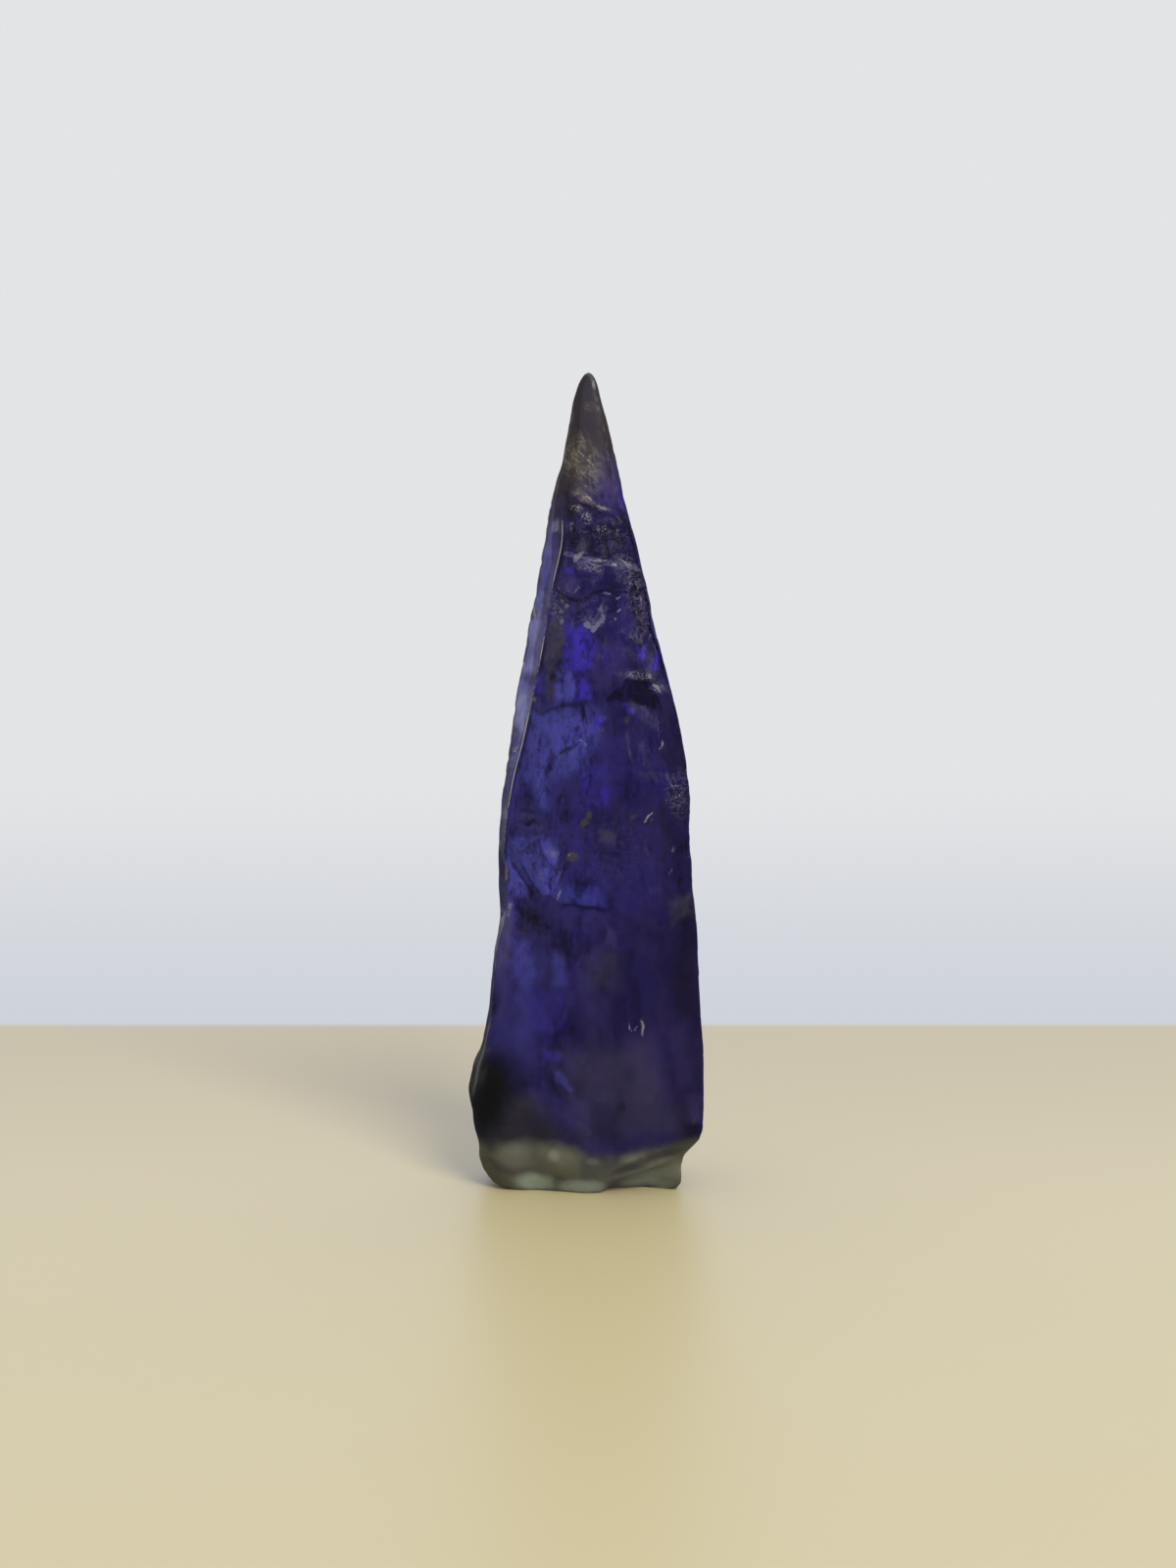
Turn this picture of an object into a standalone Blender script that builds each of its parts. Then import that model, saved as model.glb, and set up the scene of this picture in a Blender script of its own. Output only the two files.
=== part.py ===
"""A tanzanite crystal that stands on its broken foot: one tapering wedge-shaped prism, chipped and etched.

Metres, +Z up. The crystal's broad face looks along -Y, and its thin edge is on the left, at -X.
The origin is on the surface that it stands on, under the middle of its bounding box.
"""

import bpy
import numpy as np

MM = 0.001

# Driving dimensions, in millimetres
HEIGHT = 70.0
TIP_ROUND = 1.4  # height over which the worn tip closes
FLOOR_SHARE = 0.87  # the flat underside's width, as a share of the foot's
EDGE_LIFT = 0.16  # how far the foot's worn lower rim is off the floor
SLAB_SET_BACK = 1.2  # how far back the foot's lowest layer lies at the front right
FOOT_TOP = 4.4  # where the pale foot ends and the blue crystal starts

# The front view: (height, x) up each upright edge
LEFT_EDGE = (
    (0.0, -7.3), (0.7, -8.3), (1.7, -9.15), (3.6, -9.35), (6.2, -9.95), (8.3, -10.3), (10.0, -9.95),
    (12.5, -9.15), (16.3, -8.45), (20.0, -8.05), (23.9, -7.7), (27.7, -7.65), (32.8, -7.5),
    (36.6, -6.85), (41.6, -6.3), (46.6, -5.3), (51.8, -4.4), (55.5, -3.6), (58.1, -3.35),
    (60.8, -2.75), (62.4, -2.3), (67.0, -1.4), (70.0, -0.6),
)
LEFT_RIDGE = (
    (0.0, -6.0), (3.6, -8.0), (8.3, -8.7), (12.5, -7.9), (17.6, -7.1), (23.4, -6.7), (25.9, -7.0),
    (29.5, -7.25), (34.7, -6.6), (38.8, -5.6), (46.4, -4.0), (52.0, -3.05), (56.6, -2.2),
    (60.8, -2.4), (63.5, -2.0), (67.0, -1.36), (70.0, -0.58),
)
RIGHT_EDGE = (
    (0.0, 7.6), (0.8, 8.1), (2.2, 8.15), (3.1, 8.35), (3.9, 9.0), (4.8, 9.75), (6.2, 9.98), (11.7, 9.9),
    (16.8, 9.65), (24.3, 9.2), (29.3, 8.8), (31.8, 8.65), (34.4, 8.72), (36.9, 8.45), (39.4, 7.95),
    (46.9, 6.1), (55.7, 4.0), (63.3, 2.35), (68.7, 0.95), (70.0, 0.72),
)

# The side view: (height, depth) of the front, of its left ridge and of the back, from the middle
FRONT_DEPTH = (
    (0.0, 4.3), (1.2, 4.9), (3.0, 5.3), (5.5, 5.8), (10.0, 6.1), (20.0, 5.7), (32.0, 4.9), (45.0, 3.7),
    (56.0, 2.5), (64.0, 1.5), (70.0, 0.5),
)
RIDGE_FORWARD = (
    (0.0, 4.0), (1.5, 4.3), (4.0, 4.2), (9.0, 3.3), (14.0, 2.0), (20.0, 1.1), (28.0, 0.55), (40.0, 0.4),
    (56.0, 0.3), (70.0, 0.1),
)
BACK_DEPTH = (
    (0.0, 4.9), (1.2, 5.5), (3.0, 6.1), (6.5, 6.4), (12.0, 6.1), (22.0, 5.6), (34.0, 4.8), (44.0, 3.9),
    (57.0, 2.4), (64.0, 1.6), (70.0, 0.55),
)

# How many facets each side of the section gets, from the left ridge round past the front
SIDE_STEPS = (15, 9, 6, 2, 5, 4, 3, 2, 3)

# Heights of the rings, as (first, last, spacing): closer where the face is broken
RING_SPACING = ((0.0, 6.6, 0.55), (6.6, 20.0, 1.25), (20.0, 38.0, 1.0), (38.0, 60.0, 0.62), (60.0, 68.6, 1.1))
TIP_RINGS = (68.9, 69.3, 69.6, 69.82)

# Shell-shaped chips: (x, y, z) on the face, the way it looks there, how wide from its middle, how deep
CHIPS = (
    ((3.9, -2.4, 55.4), (0.55, -0.83, 0.10), 1.7, 0.45),
    ((4.9, -2.5, 52.2), (0.45, -0.88, 0.10), 2.2, 0.65),
    ((5.4, -2.8, 48.6), (0.40, -0.90, 0.00), 2.5, 0.75),
    ((7.3, -3.2, 39.4), (0.60, -0.78, 0.10), 3.4, 0.75),
    ((8.0, -4.0, 31.4), (0.45, -0.88, 0.00), 3.6, 0.75),
    ((9.4, -4.4, 18.5), (0.60, -0.80, 0.00), 3.2, 0.40),
    ((0.4, 4.3, 39.0), (0.00, 1.00, 0.10), 3.8, 0.55),
    ((5.2, 5.3, 22.5), (0.35, 0.93, 0.00), 4.6, 0.60),
    ((-5.4, 3.2, 13.0), (-0.60, 0.80, 0.00), 3.8, 0.50),
    ((1.6, 2.4, 57.0), (0.30, 0.95, 0.00), 2.4, 0.30),
    ((8.6, 3.6, 9.0), (0.80, 0.60, 0.00), 3.4, 0.60),
)

# Lines on the front, as (x, z) points: each is the edge of something broken away
SCAR_RIM = ((-1.7, 58.8), (-0.25, 57.8), (1.1, 56.7), (1.8, 57.0), (3.6, 57.2))
PLATE_FOOT = ((-2.4, 50.8), (-0.8, 50.2), (0.1, 50.7), (1.1, 51.3), (2.5, 51.6), (3.4, 51.6))
LEDGE = ((-4.7, 41.1), (-2.8, 41.4), (-0.8, 41.7), (1.4, 42.0))
CRESCENT_TOP = ((1.4, 42.0), (2.1, 42.8), (3.0, 44.0), (4.1, 44.3), (5.1, 43.7), (5.9, 42.4), (6.3, 41.4))
CRESCENT_SILL = ((1.4, 42.0), (3.5, 42.2), (4.4, 41.7), (6.3, 40.9))

VIOLET = (0.075, 0.055, 0.3, 1.0)


def through(points, heights):
    """A smooth line through (height, value) points that never overshoots them: a monotone cubic."""
    known, values = np.array(points, float).T
    steps, slopes = np.diff(known), np.diff(values) / np.diff(known)
    turns = np.zeros(len(known))
    same_way = slopes[:-1] * slopes[1:] > 0
    weight = 2 * steps[1:] + steps[:-1], steps[1:] + 2 * steps[:-1]
    with np.errstate(divide="ignore"):
        mean = (weight[0] + weight[1]) / (weight[0] / slopes[:-1] + weight[1] / slopes[1:])
    turns[1:-1][same_way] = mean[same_way]
    turns[0], turns[-1] = slopes[0], slopes[-1]
    at = np.clip(np.searchsorted(known, heights, side="right") - 1, 0, len(steps) - 1)
    u = (heights - known[at]) / steps[at]
    return (
        values[at] * (1 + 2 * u) * (1 - u) ** 2
        + values[at + 1] * u * u * (3 - 2 * u)
        + steps[at] * u * (1 - u) * (turns[at] * (1 - u) - turns[at + 1] * u)
    )


def ease(low, high, value):
    """0 below low and 1 above high, with a smooth step between; low may be the larger."""
    u = np.clip((value - low) / (high - low), 0.0, 1.0)
    return u * u * (3 - 2 * u)


def lumps(points, cell, seed):
    """Smooth noise from -1 to 1: a fixed random value at each corner of a grid of cells, blended between."""
    scaled = points / cell
    corner = np.floor(scaled).astype(np.int64)
    part = scaled - corner
    part = part * part * (3 - 2 * part)
    total = np.zeros(len(points))
    for dx, dy, dz in np.ndindex(2, 2, 2):
        x, y, z = (corner + (dx, dy, dz)).T
        mixed = (x * 73856093) ^ (y * 19349663) ^ (z * 83492791) ^ (seed * 2654435761)
        mixed = (mixed ^ (mixed >> 13)) * 1274126177 & 0xFFFFFFFF
        mixed = ((mixed ^ (mixed >> 16)) & 0xFFFF) / 32767.5 - 1
        share = np.abs(1 - dx - part[:, 0]) * np.abs(1 - dy - part[:, 1]) * np.abs(1 - dz - part[:, 2])
        total += mixed * share
    return total


def section_corners(heights):
    """The nine corners of the section at each height, from the left ridge round past the front."""
    left, ridge, right = (through(edge, heights) for edge in (LEFT_EDGE, LEFT_RIDGE, RIGHT_EDGE))
    front, back = through(FRONT_DEPTH, heights), through(BACK_DEPTH, heights)
    wide = right - left
    behind_edge = 0.05 * back + 0.025 * wide + 1.9 * ease(17.0, 6.0, heights)
    corners = (
        (ridge, -through(RIDGE_FORWARD, heights)),
        (ridge + 0.64 * (right - ridge), -front),
        (right, -0.8 * front),
        (right - 0.05 * wide, 0.55 * back),
        (right - 0.17 * wide, 0.92 * back),
        (left + 0.48 * wide, back),
        (left + 0.27 * wide, 0.7 * back),
        (left + 0.09 * wide, behind_edge),
        (left, 0.05 * back),
    )
    corners = np.array(corners).transpose(2, 0, 1)
    up_the_tip = np.clip((heights - (HEIGHT - TIP_ROUND)) / TIP_ROUND, 0.0, 1.0)
    middle = corners.mean(axis=1, keepdims=True)
    return middle + (corners - middle) * np.sqrt(1 - up_the_tip**2)[:, None, None]


def plain_faces(heights):
    """The unbroken prism: points and level outward directions, as arrays of ring, place round it, axis."""
    corners = section_corners(heights)
    side = np.roll(corners, -1, axis=1) - corners
    square = np.stack([side[..., 1], -side[..., 0]], axis=-1)
    square /= np.linalg.norm(square, axis=-1, keepdims=True)
    points, outward = [], []
    for i, steps in enumerate(SIDE_STEPS):
        for share in np.arange(steps) / steps:
            points.append(corners[:, i] + side[:, i] * share)
            outward.append(square[:, i] + (square[:, i - 1] if share == 0 else 0))
    points, outward = np.stack(points, axis=1), np.stack(outward, axis=1)
    outward /= np.linalg.norm(outward, axis=-1, keepdims=True)
    level = np.broadcast_to(heights[:, None, None], (*points.shape[:2], 1))
    return np.concatenate([points, level], axis=-1), outward


def line_at(points, x):
    return np.interp(x, *np.array(points).T)


def front_breaks(x, z):
    """How deep the front is broken or etched away, in millimetres, at x across and z up."""
    scar_top = 59.1 - 0.47 * x
    rim, shelf = line_at(SCAR_RIM, x), 54.0 - 0.19 * (x + 0.5)
    scar = 0.2 * ease(scar_top, scar_top - 0.4, z) + 0.45 * ease(rim + 0.1, rim - 0.7, z)
    scar *= ease(shelf - 0.05, shelf + 0.4, z)

    plate_foot = line_at(PLATE_FOOT, x)
    below_plate = 0.4 * ease(plate_foot + 0.1, plate_foot - 0.4, z) * ease(45.2, 49.0, z)

    top, sill = line_at(CRESCENT_TOP, x), line_at(CRESCENT_SILL, x)
    crescent = 0.8 * ease(top + 0.1, top - 0.5, z) * ease(sill - 0.6, sill + 0.2, z)
    crescent *= ease(1.3, 2.6, x) * ease(6.5, 5.8, x)

    ledge = line_at(LEDGE, x)
    under_ledge = 0.16 * ease(ledge + 0.1, ledge - 0.3, z) * ease(ledge - 4.5, ledge - 1.0, z)
    under_ledge *= ease(1.6, 0.6, x)

    from_boss = np.hypot((x + 3.4) / 3.2, (z - 27.8) / 3.6)
    boss = -0.3 * np.clip(1 - from_boss**2, 0, None)
    cleft = 0.35 * ease(24.7, 24.2, z) * ease(20.5, 23.6, z) * ease(-3.6, -2.0, x) * ease(3.4, 1.8, x)
    return scar + below_plate + crescent + under_ledge + boss + cleft


def foot_breaks(x, z):
    """The same for the foot's front: two lobes, and a slab at the right that lies further back."""
    lobes = np.exp(-(((x + 3.6) / 2.2) ** 2) - ((z - 2.6) / 1.5) ** 2)
    lobes += 0.4 * np.exp(-(((x - 0.3) / 1.6) ** 2) - ((z - 1.4) / 1.2) ** 2)
    overhang = 0.9 + 0.3 * (x - 2.0)
    slab = ease(1.0, 2.0, x) * ease(overhang + 0.5, overhang - 0.4, z)
    return SLAB_SET_BACK * slab - 0.45 * lobes


def back_breaks(x, z):
    """The same for the back: two steps where slivers have split off along the crystal."""
    sliver = 0.4 * ease(0.9 + 0.05 * z, 1.2 + 0.05 * z, x) * ease(51.5, 50.5, z) * ease(30.5, 32.5, z)
    low_step = 0.5 * ease(-1.6, -2.0, x) * ease(24.5, 23.5, z) * ease(5.5, 9.0, z)
    return sliver + low_step


def chipped(points, outward):
    """Each chip is a hollow ball's surface: a point inside the ball moves level, straight in, on to it."""
    inward = -outward
    for spot, facing, wide, deep in CHIPS:
        facing = np.array(facing) / np.linalg.norm(facing)
        radius = (wide**2 + deep**2) / (2 * deep)
        from_middle = points - (np.array(spot) + facing * (radius - deep))
        along = (from_middle[:, :2] * inward).sum(axis=1)
        left_over = along**2 - (from_middle**2).sum(axis=1) + radius**2
        inside = (np.linalg.norm(from_middle, axis=1) < radius) & (outward @ facing[:2] > 0.3)
        move = np.where(inside, np.sqrt(np.clip(left_over, 0, None)) - along, 0.0)
        move = np.clip(move, 0.0, 1.5 * deep)
        points[:, :2] += inward * move[:, None]


def broken(points, outward):
    """The crystal's real surface: chips first, then everything else that lies below the plain faces."""
    chipped(points, outward)
    x, z = points[:, 0], points[:, 2]
    facing = -outward[:, 1]
    wear = 0.14 * lumps(points, np.array((2.6, 2.6, 4.5)), 11) + 0.06 * lumps(points, 1.3, 12)
    wear *= ease(HEIGHT, 60.0, z) * 0.75 + 0.25
    rough = 0.26 * lumps(points, np.array((1.5, 1.5, 1.1)), 13)
    rough *= ease(44.5, 47.5, z) * ease(60.0, 58.0, z) * ease(0.2, 0.6, facing)
    bulges = 0.45 * lumps(points, np.array((4.2, 4.2, 5.5)), 14) * ease(24.0, 9.0, z)
    foot = 0.3 * lumps(points, 2.4, 15) * ease(FOOT_TOP + 1.5, FOOT_TOP - 2.0, z)
    foot += foot_breaks(x, z) * ease(0.2, 0.7, facing)
    breaks = front_breaks(x, z) * ease(0.15, 0.7, facing) + back_breaks(x, z) * ease(0.2, 0.75, -facing)
    return wear + rough + bulges + foot + breaks


def crystal_points():
    """Every ring's points in millimetres, the flat underside's rim first, as ring, place round it, axis."""
    spans = [np.arange(first, last, spacing) for first, last, spacing in RING_SPACING]
    points, outward = plain_faces(np.concatenate([*spans, TIP_RINGS]))
    shape = points.shape
    points, outward = points.reshape(-1, 3), outward.reshape(-1, 2)
    deep = broken(points, outward)
    points[:, :2] -= outward * deep[:, None] * thickness_limit(points.reshape(shape))
    points = points.reshape(shape)

    rim = points[0]
    underside = rim.copy()
    middle = rim[:, :2].mean(axis=0)
    underside[:, :2] = middle + FLOOR_SHARE * (rim[:, :2] - middle)
    rim[:, 2] = EDGE_LIFT
    return np.concatenate([underside[None], points])


def thickness_limit(points):
    """A share from 0 to 1 that holds back deep breaks where the crystal is too thin for them."""
    half = np.linalg.norm(points[..., :2] - points[..., :2].mean(axis=1, keepdims=True), axis=-1)
    return ease(0.2, 2.0, half).reshape(-1, 1)


def make_solid(name, material):
    """Skins the rings with quads, closes the underside with one flat face and the tip with a fan."""
    points = crystal_points()
    count, around = points.shape[:2]
    tip = np.array([[*points[-1, :, :2].mean(axis=0), HEIGHT]])
    verts = np.concatenate([points.reshape(-1, 3), tip])
    middle = (verts.min(axis=0) + verts.max(axis=0)) / 2
    verts[:, :2] -= middle[:2]
    faces = [tuple(range(around))[::-1]]
    for ring in range(count - 1):
        for j in range(around):
            after = (j + 1) % around
            low, high = ring * around, (ring + 1) * around
            faces.append((low + j, low + after, high + after, high + j))
    last, apex = (count - 1) * around, len(verts) - 1
    faces += [(last + j, last + (j + 1) % around, apex) for j in range(around)]
    mesh = bpy.data.meshes.new(name)
    mesh.from_pydata((verts * MM).tolist(), [], faces)
    mesh.materials.append(material)
    mesh.shade_smooth()
    mesh.set_sharp_from_angle(angle=np.radians(18))
    crystal = bpy.data.objects.new(name, mesh)
    bpy.context.scene.collection.objects.link(crystal)
    return crystal


def crystal_material():
    """Deep violet-blue crystal: clear, dense and glossy."""
    material = bpy.data.materials.new("tanzanite")
    material.use_nodes = True
    shader = material.node_tree.nodes["Principled BSDF"]
    shader.inputs["Base Color"].default_value = VIOLET
    shader.inputs["Roughness"].default_value = 0.15
    shader.inputs["Metallic"].default_value = 0.0
    shader.inputs["IOR"].default_value = 1.69
    material.diffuse_color = VIOLET
    return material


def main():
    for leftover in list(bpy.data.objects):
        bpy.data.objects.remove(leftover)
    make_solid("tanzanite_crystal", crystal_material())


main()
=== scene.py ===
"""A tanzanite crystal on its broken foot: its fine surface, its see-through finish and a plain stage.

The tables of the crystal are in millimetres: x across the front from its middle, y back from the middle of
its thickness, z up from the surface that it stands on. The depth of a mark is how far it goes into the face.
Everything that goes into the scene is in metres.
"""

import bpy
import numpy as np
from bpy.props import FloatProperty, FloatVectorProperty, PointerProperty
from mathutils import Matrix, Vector


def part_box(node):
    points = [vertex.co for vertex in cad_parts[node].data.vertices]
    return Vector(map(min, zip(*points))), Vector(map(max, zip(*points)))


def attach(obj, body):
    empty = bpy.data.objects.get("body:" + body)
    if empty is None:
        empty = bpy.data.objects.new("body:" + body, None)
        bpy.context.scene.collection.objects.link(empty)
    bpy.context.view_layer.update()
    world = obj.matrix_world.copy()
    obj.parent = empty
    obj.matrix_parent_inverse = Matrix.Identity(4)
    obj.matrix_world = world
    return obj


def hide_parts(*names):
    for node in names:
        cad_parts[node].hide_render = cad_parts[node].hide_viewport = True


bl_info = {
    "name": "Tanzanite crystal",
    "version": (1, 0, 0),
    "blender": (4, 5, 0),
    "location": "3D View > Sidebar > Crystal",
    "description": "Builds the surface and finish of a tanzanite crystal and a stage to show it on",
    "category": "Add Mesh",
}

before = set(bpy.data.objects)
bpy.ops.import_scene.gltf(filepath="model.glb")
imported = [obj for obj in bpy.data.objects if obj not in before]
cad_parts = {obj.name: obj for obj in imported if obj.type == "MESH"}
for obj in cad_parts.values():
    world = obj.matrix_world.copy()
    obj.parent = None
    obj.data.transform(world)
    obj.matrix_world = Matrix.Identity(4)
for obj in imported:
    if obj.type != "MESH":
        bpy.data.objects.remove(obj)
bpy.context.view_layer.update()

MM = 0.001
NODE = "tanzanite_crystal"
BODY = "root"
LOWEST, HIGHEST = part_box(NODE)
HEIGHT = (HIGHEST.z - LOWEST.z) / MM

# The prism, as the solid has it
TIP_ROUND = 1.4  # height over which the worn tip closes
SLAB_SET_BACK = 1.2  # how far back the foot's lowest layer lies at the front right
FOOT_TOP = 4.4  # where the pale foot ends and the blue crystal starts

# The heights of the front's marks are read off a view from slightly above. Each lies this much higher up to
# the first height, and less so from there up to the second one, above which it lies where it was read
MARK_RISE = 0.45
RISE_LESSENS, RISE_ENDS = 50.0, 61.0

# Only the front is known: the same kinds of marks are put on the hidden sides, elsewhere
BACK_TURN = 64.0  # the back's marks are the front's upside down: the sum of both heights
SIDE_START = 6.0  # the side's marks are the front's from this height up,
SIDE_SHARE = 0.7  # this far up the front for each millimetre up the side, so that they are taller
SIDE_ACROSS, SIDE_MIDDLE = 0.9, -1.0  # x on the front for each millimetre back, and at the side's middle

# The front view: (height, x) up each upright edge
LEFT_EDGE = (
    (0, -6.9), (0.3, -8), (0.9, -9), (1.7, -9.4), (3.6, -9.7), (6.2, -10.25), (8.3, -10.5), (10, -10.1),
    (12.5, -9.15), (16.3, -8.7), (20, -8.2), (23.9, -7.75), (27.7, -7.85), (32.8, -7.6), (36.6, -6.9),
    (41.6, -6.35), (46.6, -5.55), (49.5, -5), (51.8, -4.45), (55.5, -3.7), (58.1, -3.3), (60.8, -2.7),
    (62.4, -2.25), (67, -1.4), (70, -0.6),
)
LEFT_RIDGE = (
    (0, -6), (3.6, -8), (8.3, -8.7), (12.5, -7.9), (17.6, -7.1), (23.4, -6.7), (25.9, -7), (29.5, -7.25),
    (34.7, -6.6), (38.8, -5.6), (46.4, -4), (52, -3.05), (56.6, -2.2), (60.8, -2.4), (63.5, -2), (67, -1.36),
    (70, -0.58),
)
RIGHT_EDGE = (
    (0, 7.6), (0.8, 8.1), (2.2, 8.15), (3.1, 8.35), (3.9, 9), (4.8, 9.75), (6.2, 9.98), (11.7, 9.9),
    (16.8, 9.6), (24.3, 9.15), (29.3, 8.75), (31.8, 8.55), (34.4, 8.68), (36.9, 8.45), (39.4, 7.95),
    (46.9, 6.15), (55.7, 4), (61, 2.65), (63.3, 2.15), (65.8, 1.6), (68.7, 0.85), (70, 0.66),
)

# The side view: (height, depth) of the front, of its left ridge and of the back, from the middle
FRONT_DEPTH = (
    (0, 4.3), (1.2, 4.9), (3, 5.3), (5.5, 5.8), (10, 6.1), (20, 5.7), (32, 4.9), (45, 3.7), (56, 2.5),
    (64, 1.5), (70, 0.5),
)
RIDGE_FORWARD = (
    (0, 4), (1.5, 4.3), (4, 4.2), (9, 3.3), (14, 2), (20, 1.1), (28, 0.55), (40, 0.4), (56, 0.3), (70, 0.1),
)
BACK_DEPTH = (
    (0, 4.9), (1.2, 5.5), (3, 6.1), (6.5, 6.4), (12, 6.1), (22, 5.6), (34, 4.8), (44, 3.9), (57, 2.4),
    (64, 1.6), (70, 0.55),
)

# How the rings' corners are worn round, in columns: the bell curve of the average and its cut-off, and the
# bell curves in which it works at the front's middle ridge and at the left ridge
WORN_CURVE, WORN_REACH, MIDDLE_RIDGE_CURVE, LEFT_RIDGE_CURVE = 13, 30, 14, 9

# Mesh columns on each side of the section, from the left ridge round past the front
SIDE_STEPS = (76, 42, 22, 5, 26, 16, 12, 6, 12)

# Mesh rows, as (first height, last, spacing): closer where the face is broken
ROW_SPACING = (
    (0.16, 7.0, 0.15), (7.0, 21.0, 0.2), (21.0, 44.0, 0.165), (44.0, 60.0, 0.12), (60.0, 68.6, 0.18),
    (68.6, 69.9, 0.1),
)

# The worn lower rim: (height, share of the foot's width), from the flat underside outwards
WORN_RIM = ((0.0, 0.87), (0.015, 0.91), (0.05, 0.95), (0.1, 0.98))

# Shell-shaped chips: (x, y, z) on the face, the way it looks there, how wide from its middle, how deep
CHIPS = (
    ((3.9, -2.4, 55.4), (0.55, -0.83, 0.10), 1.7, 0.25),
    ((4.9, -2.5, 52.2), (0.45, -0.88, 0.10), 2.1, 0.25),
    ((5.4, -2.8, 48.6), (0.40, -0.90, 0.00), 2.4, 0.18),
    ((5.3, -3.6, 39.6), (0.25, -0.96, 0.10), 2.2, 0.12),
    ((6.0, -4.4, 32.4), (0.15, -0.98, 0.00), 2.4, 0.15),
    ((6.9, -5.1, 18.5), (0.15, -0.98, 0.00), 2.6, 0.1),
    ((0.4, 4.3, 39.0), (0.00, 1.00, 0.10), 3.8, 0.55),
    ((5.2, 5.3, 22.5), (0.35, 0.93, 0.00), 4.6, 0.60),
    ((-5.4, 3.2, 13.0), (-0.60, 0.80, 0.00), 3.8, 0.50),
    ((1.6, 2.4, 57.0), (0.30, 0.95, 0.00), 2.4, 0.30),
    ((8.6, 3.6, 9.0), (0.80, 0.60, 0.00), 3.4, 0.60),
)

# How bright the painted light through the thin left edge is, as (height, share)
STRIP_LIGHT = (
    (14, 0), (20, 0.2), (26, 0.2), (30, 0.45), (34.5, 0.5), (36.5, 0.7), (38.5, 0.65), (40.5, 1), (42.3, 1),
    (43.4, 0.6), (44.2, 0.4), (45, 1), (46.5, 0.65), (49, 0.7), (52, 0.55), (55, 0.45), (58, 0.35), (61, 0),
)

# Lines on the front, as (x, z) points: the edges of what has broken away, and where the pale foot ends
SCAR_RIM = ((-1.7, 58.8), (-0.25, 57.8), (1.1, 56.7), (1.8, 57.0), (3.6, 57.2))
PLATE_FOOT = ((-2.4, 50.8), (-0.8, 50.2), (0.1, 50.7), (1.1, 51.3), (2.5, 51.6), (3.4, 51.6))
LEDGE = ((-4.7, 41.1), (-2.8, 41.4), (-0.8, 41.7), (1.4, 42.0))
CRESCENT_TOP = ((1.4, 42.0), (2.1, 42.8), (3.0, 44.0), (4.1, 44.3), (5.1, 43.7), (5.9, 42.4), (6.3, 41.4))
CRESCENT_SILL = ((1.4, 42.0), (3.5, 42.2), (4.4, 41.7), (6.3, 40.9))
PALE_FOOT_TOP = (
    (-9.5, 4.2), (-6, 4.3), (-3, 4.3), (-1.2, 4), (0.5, 3.4), (2.3, 3.2), (4.7, 3.9), (7, 4.2), (9.5, 4.6),
)
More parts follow.
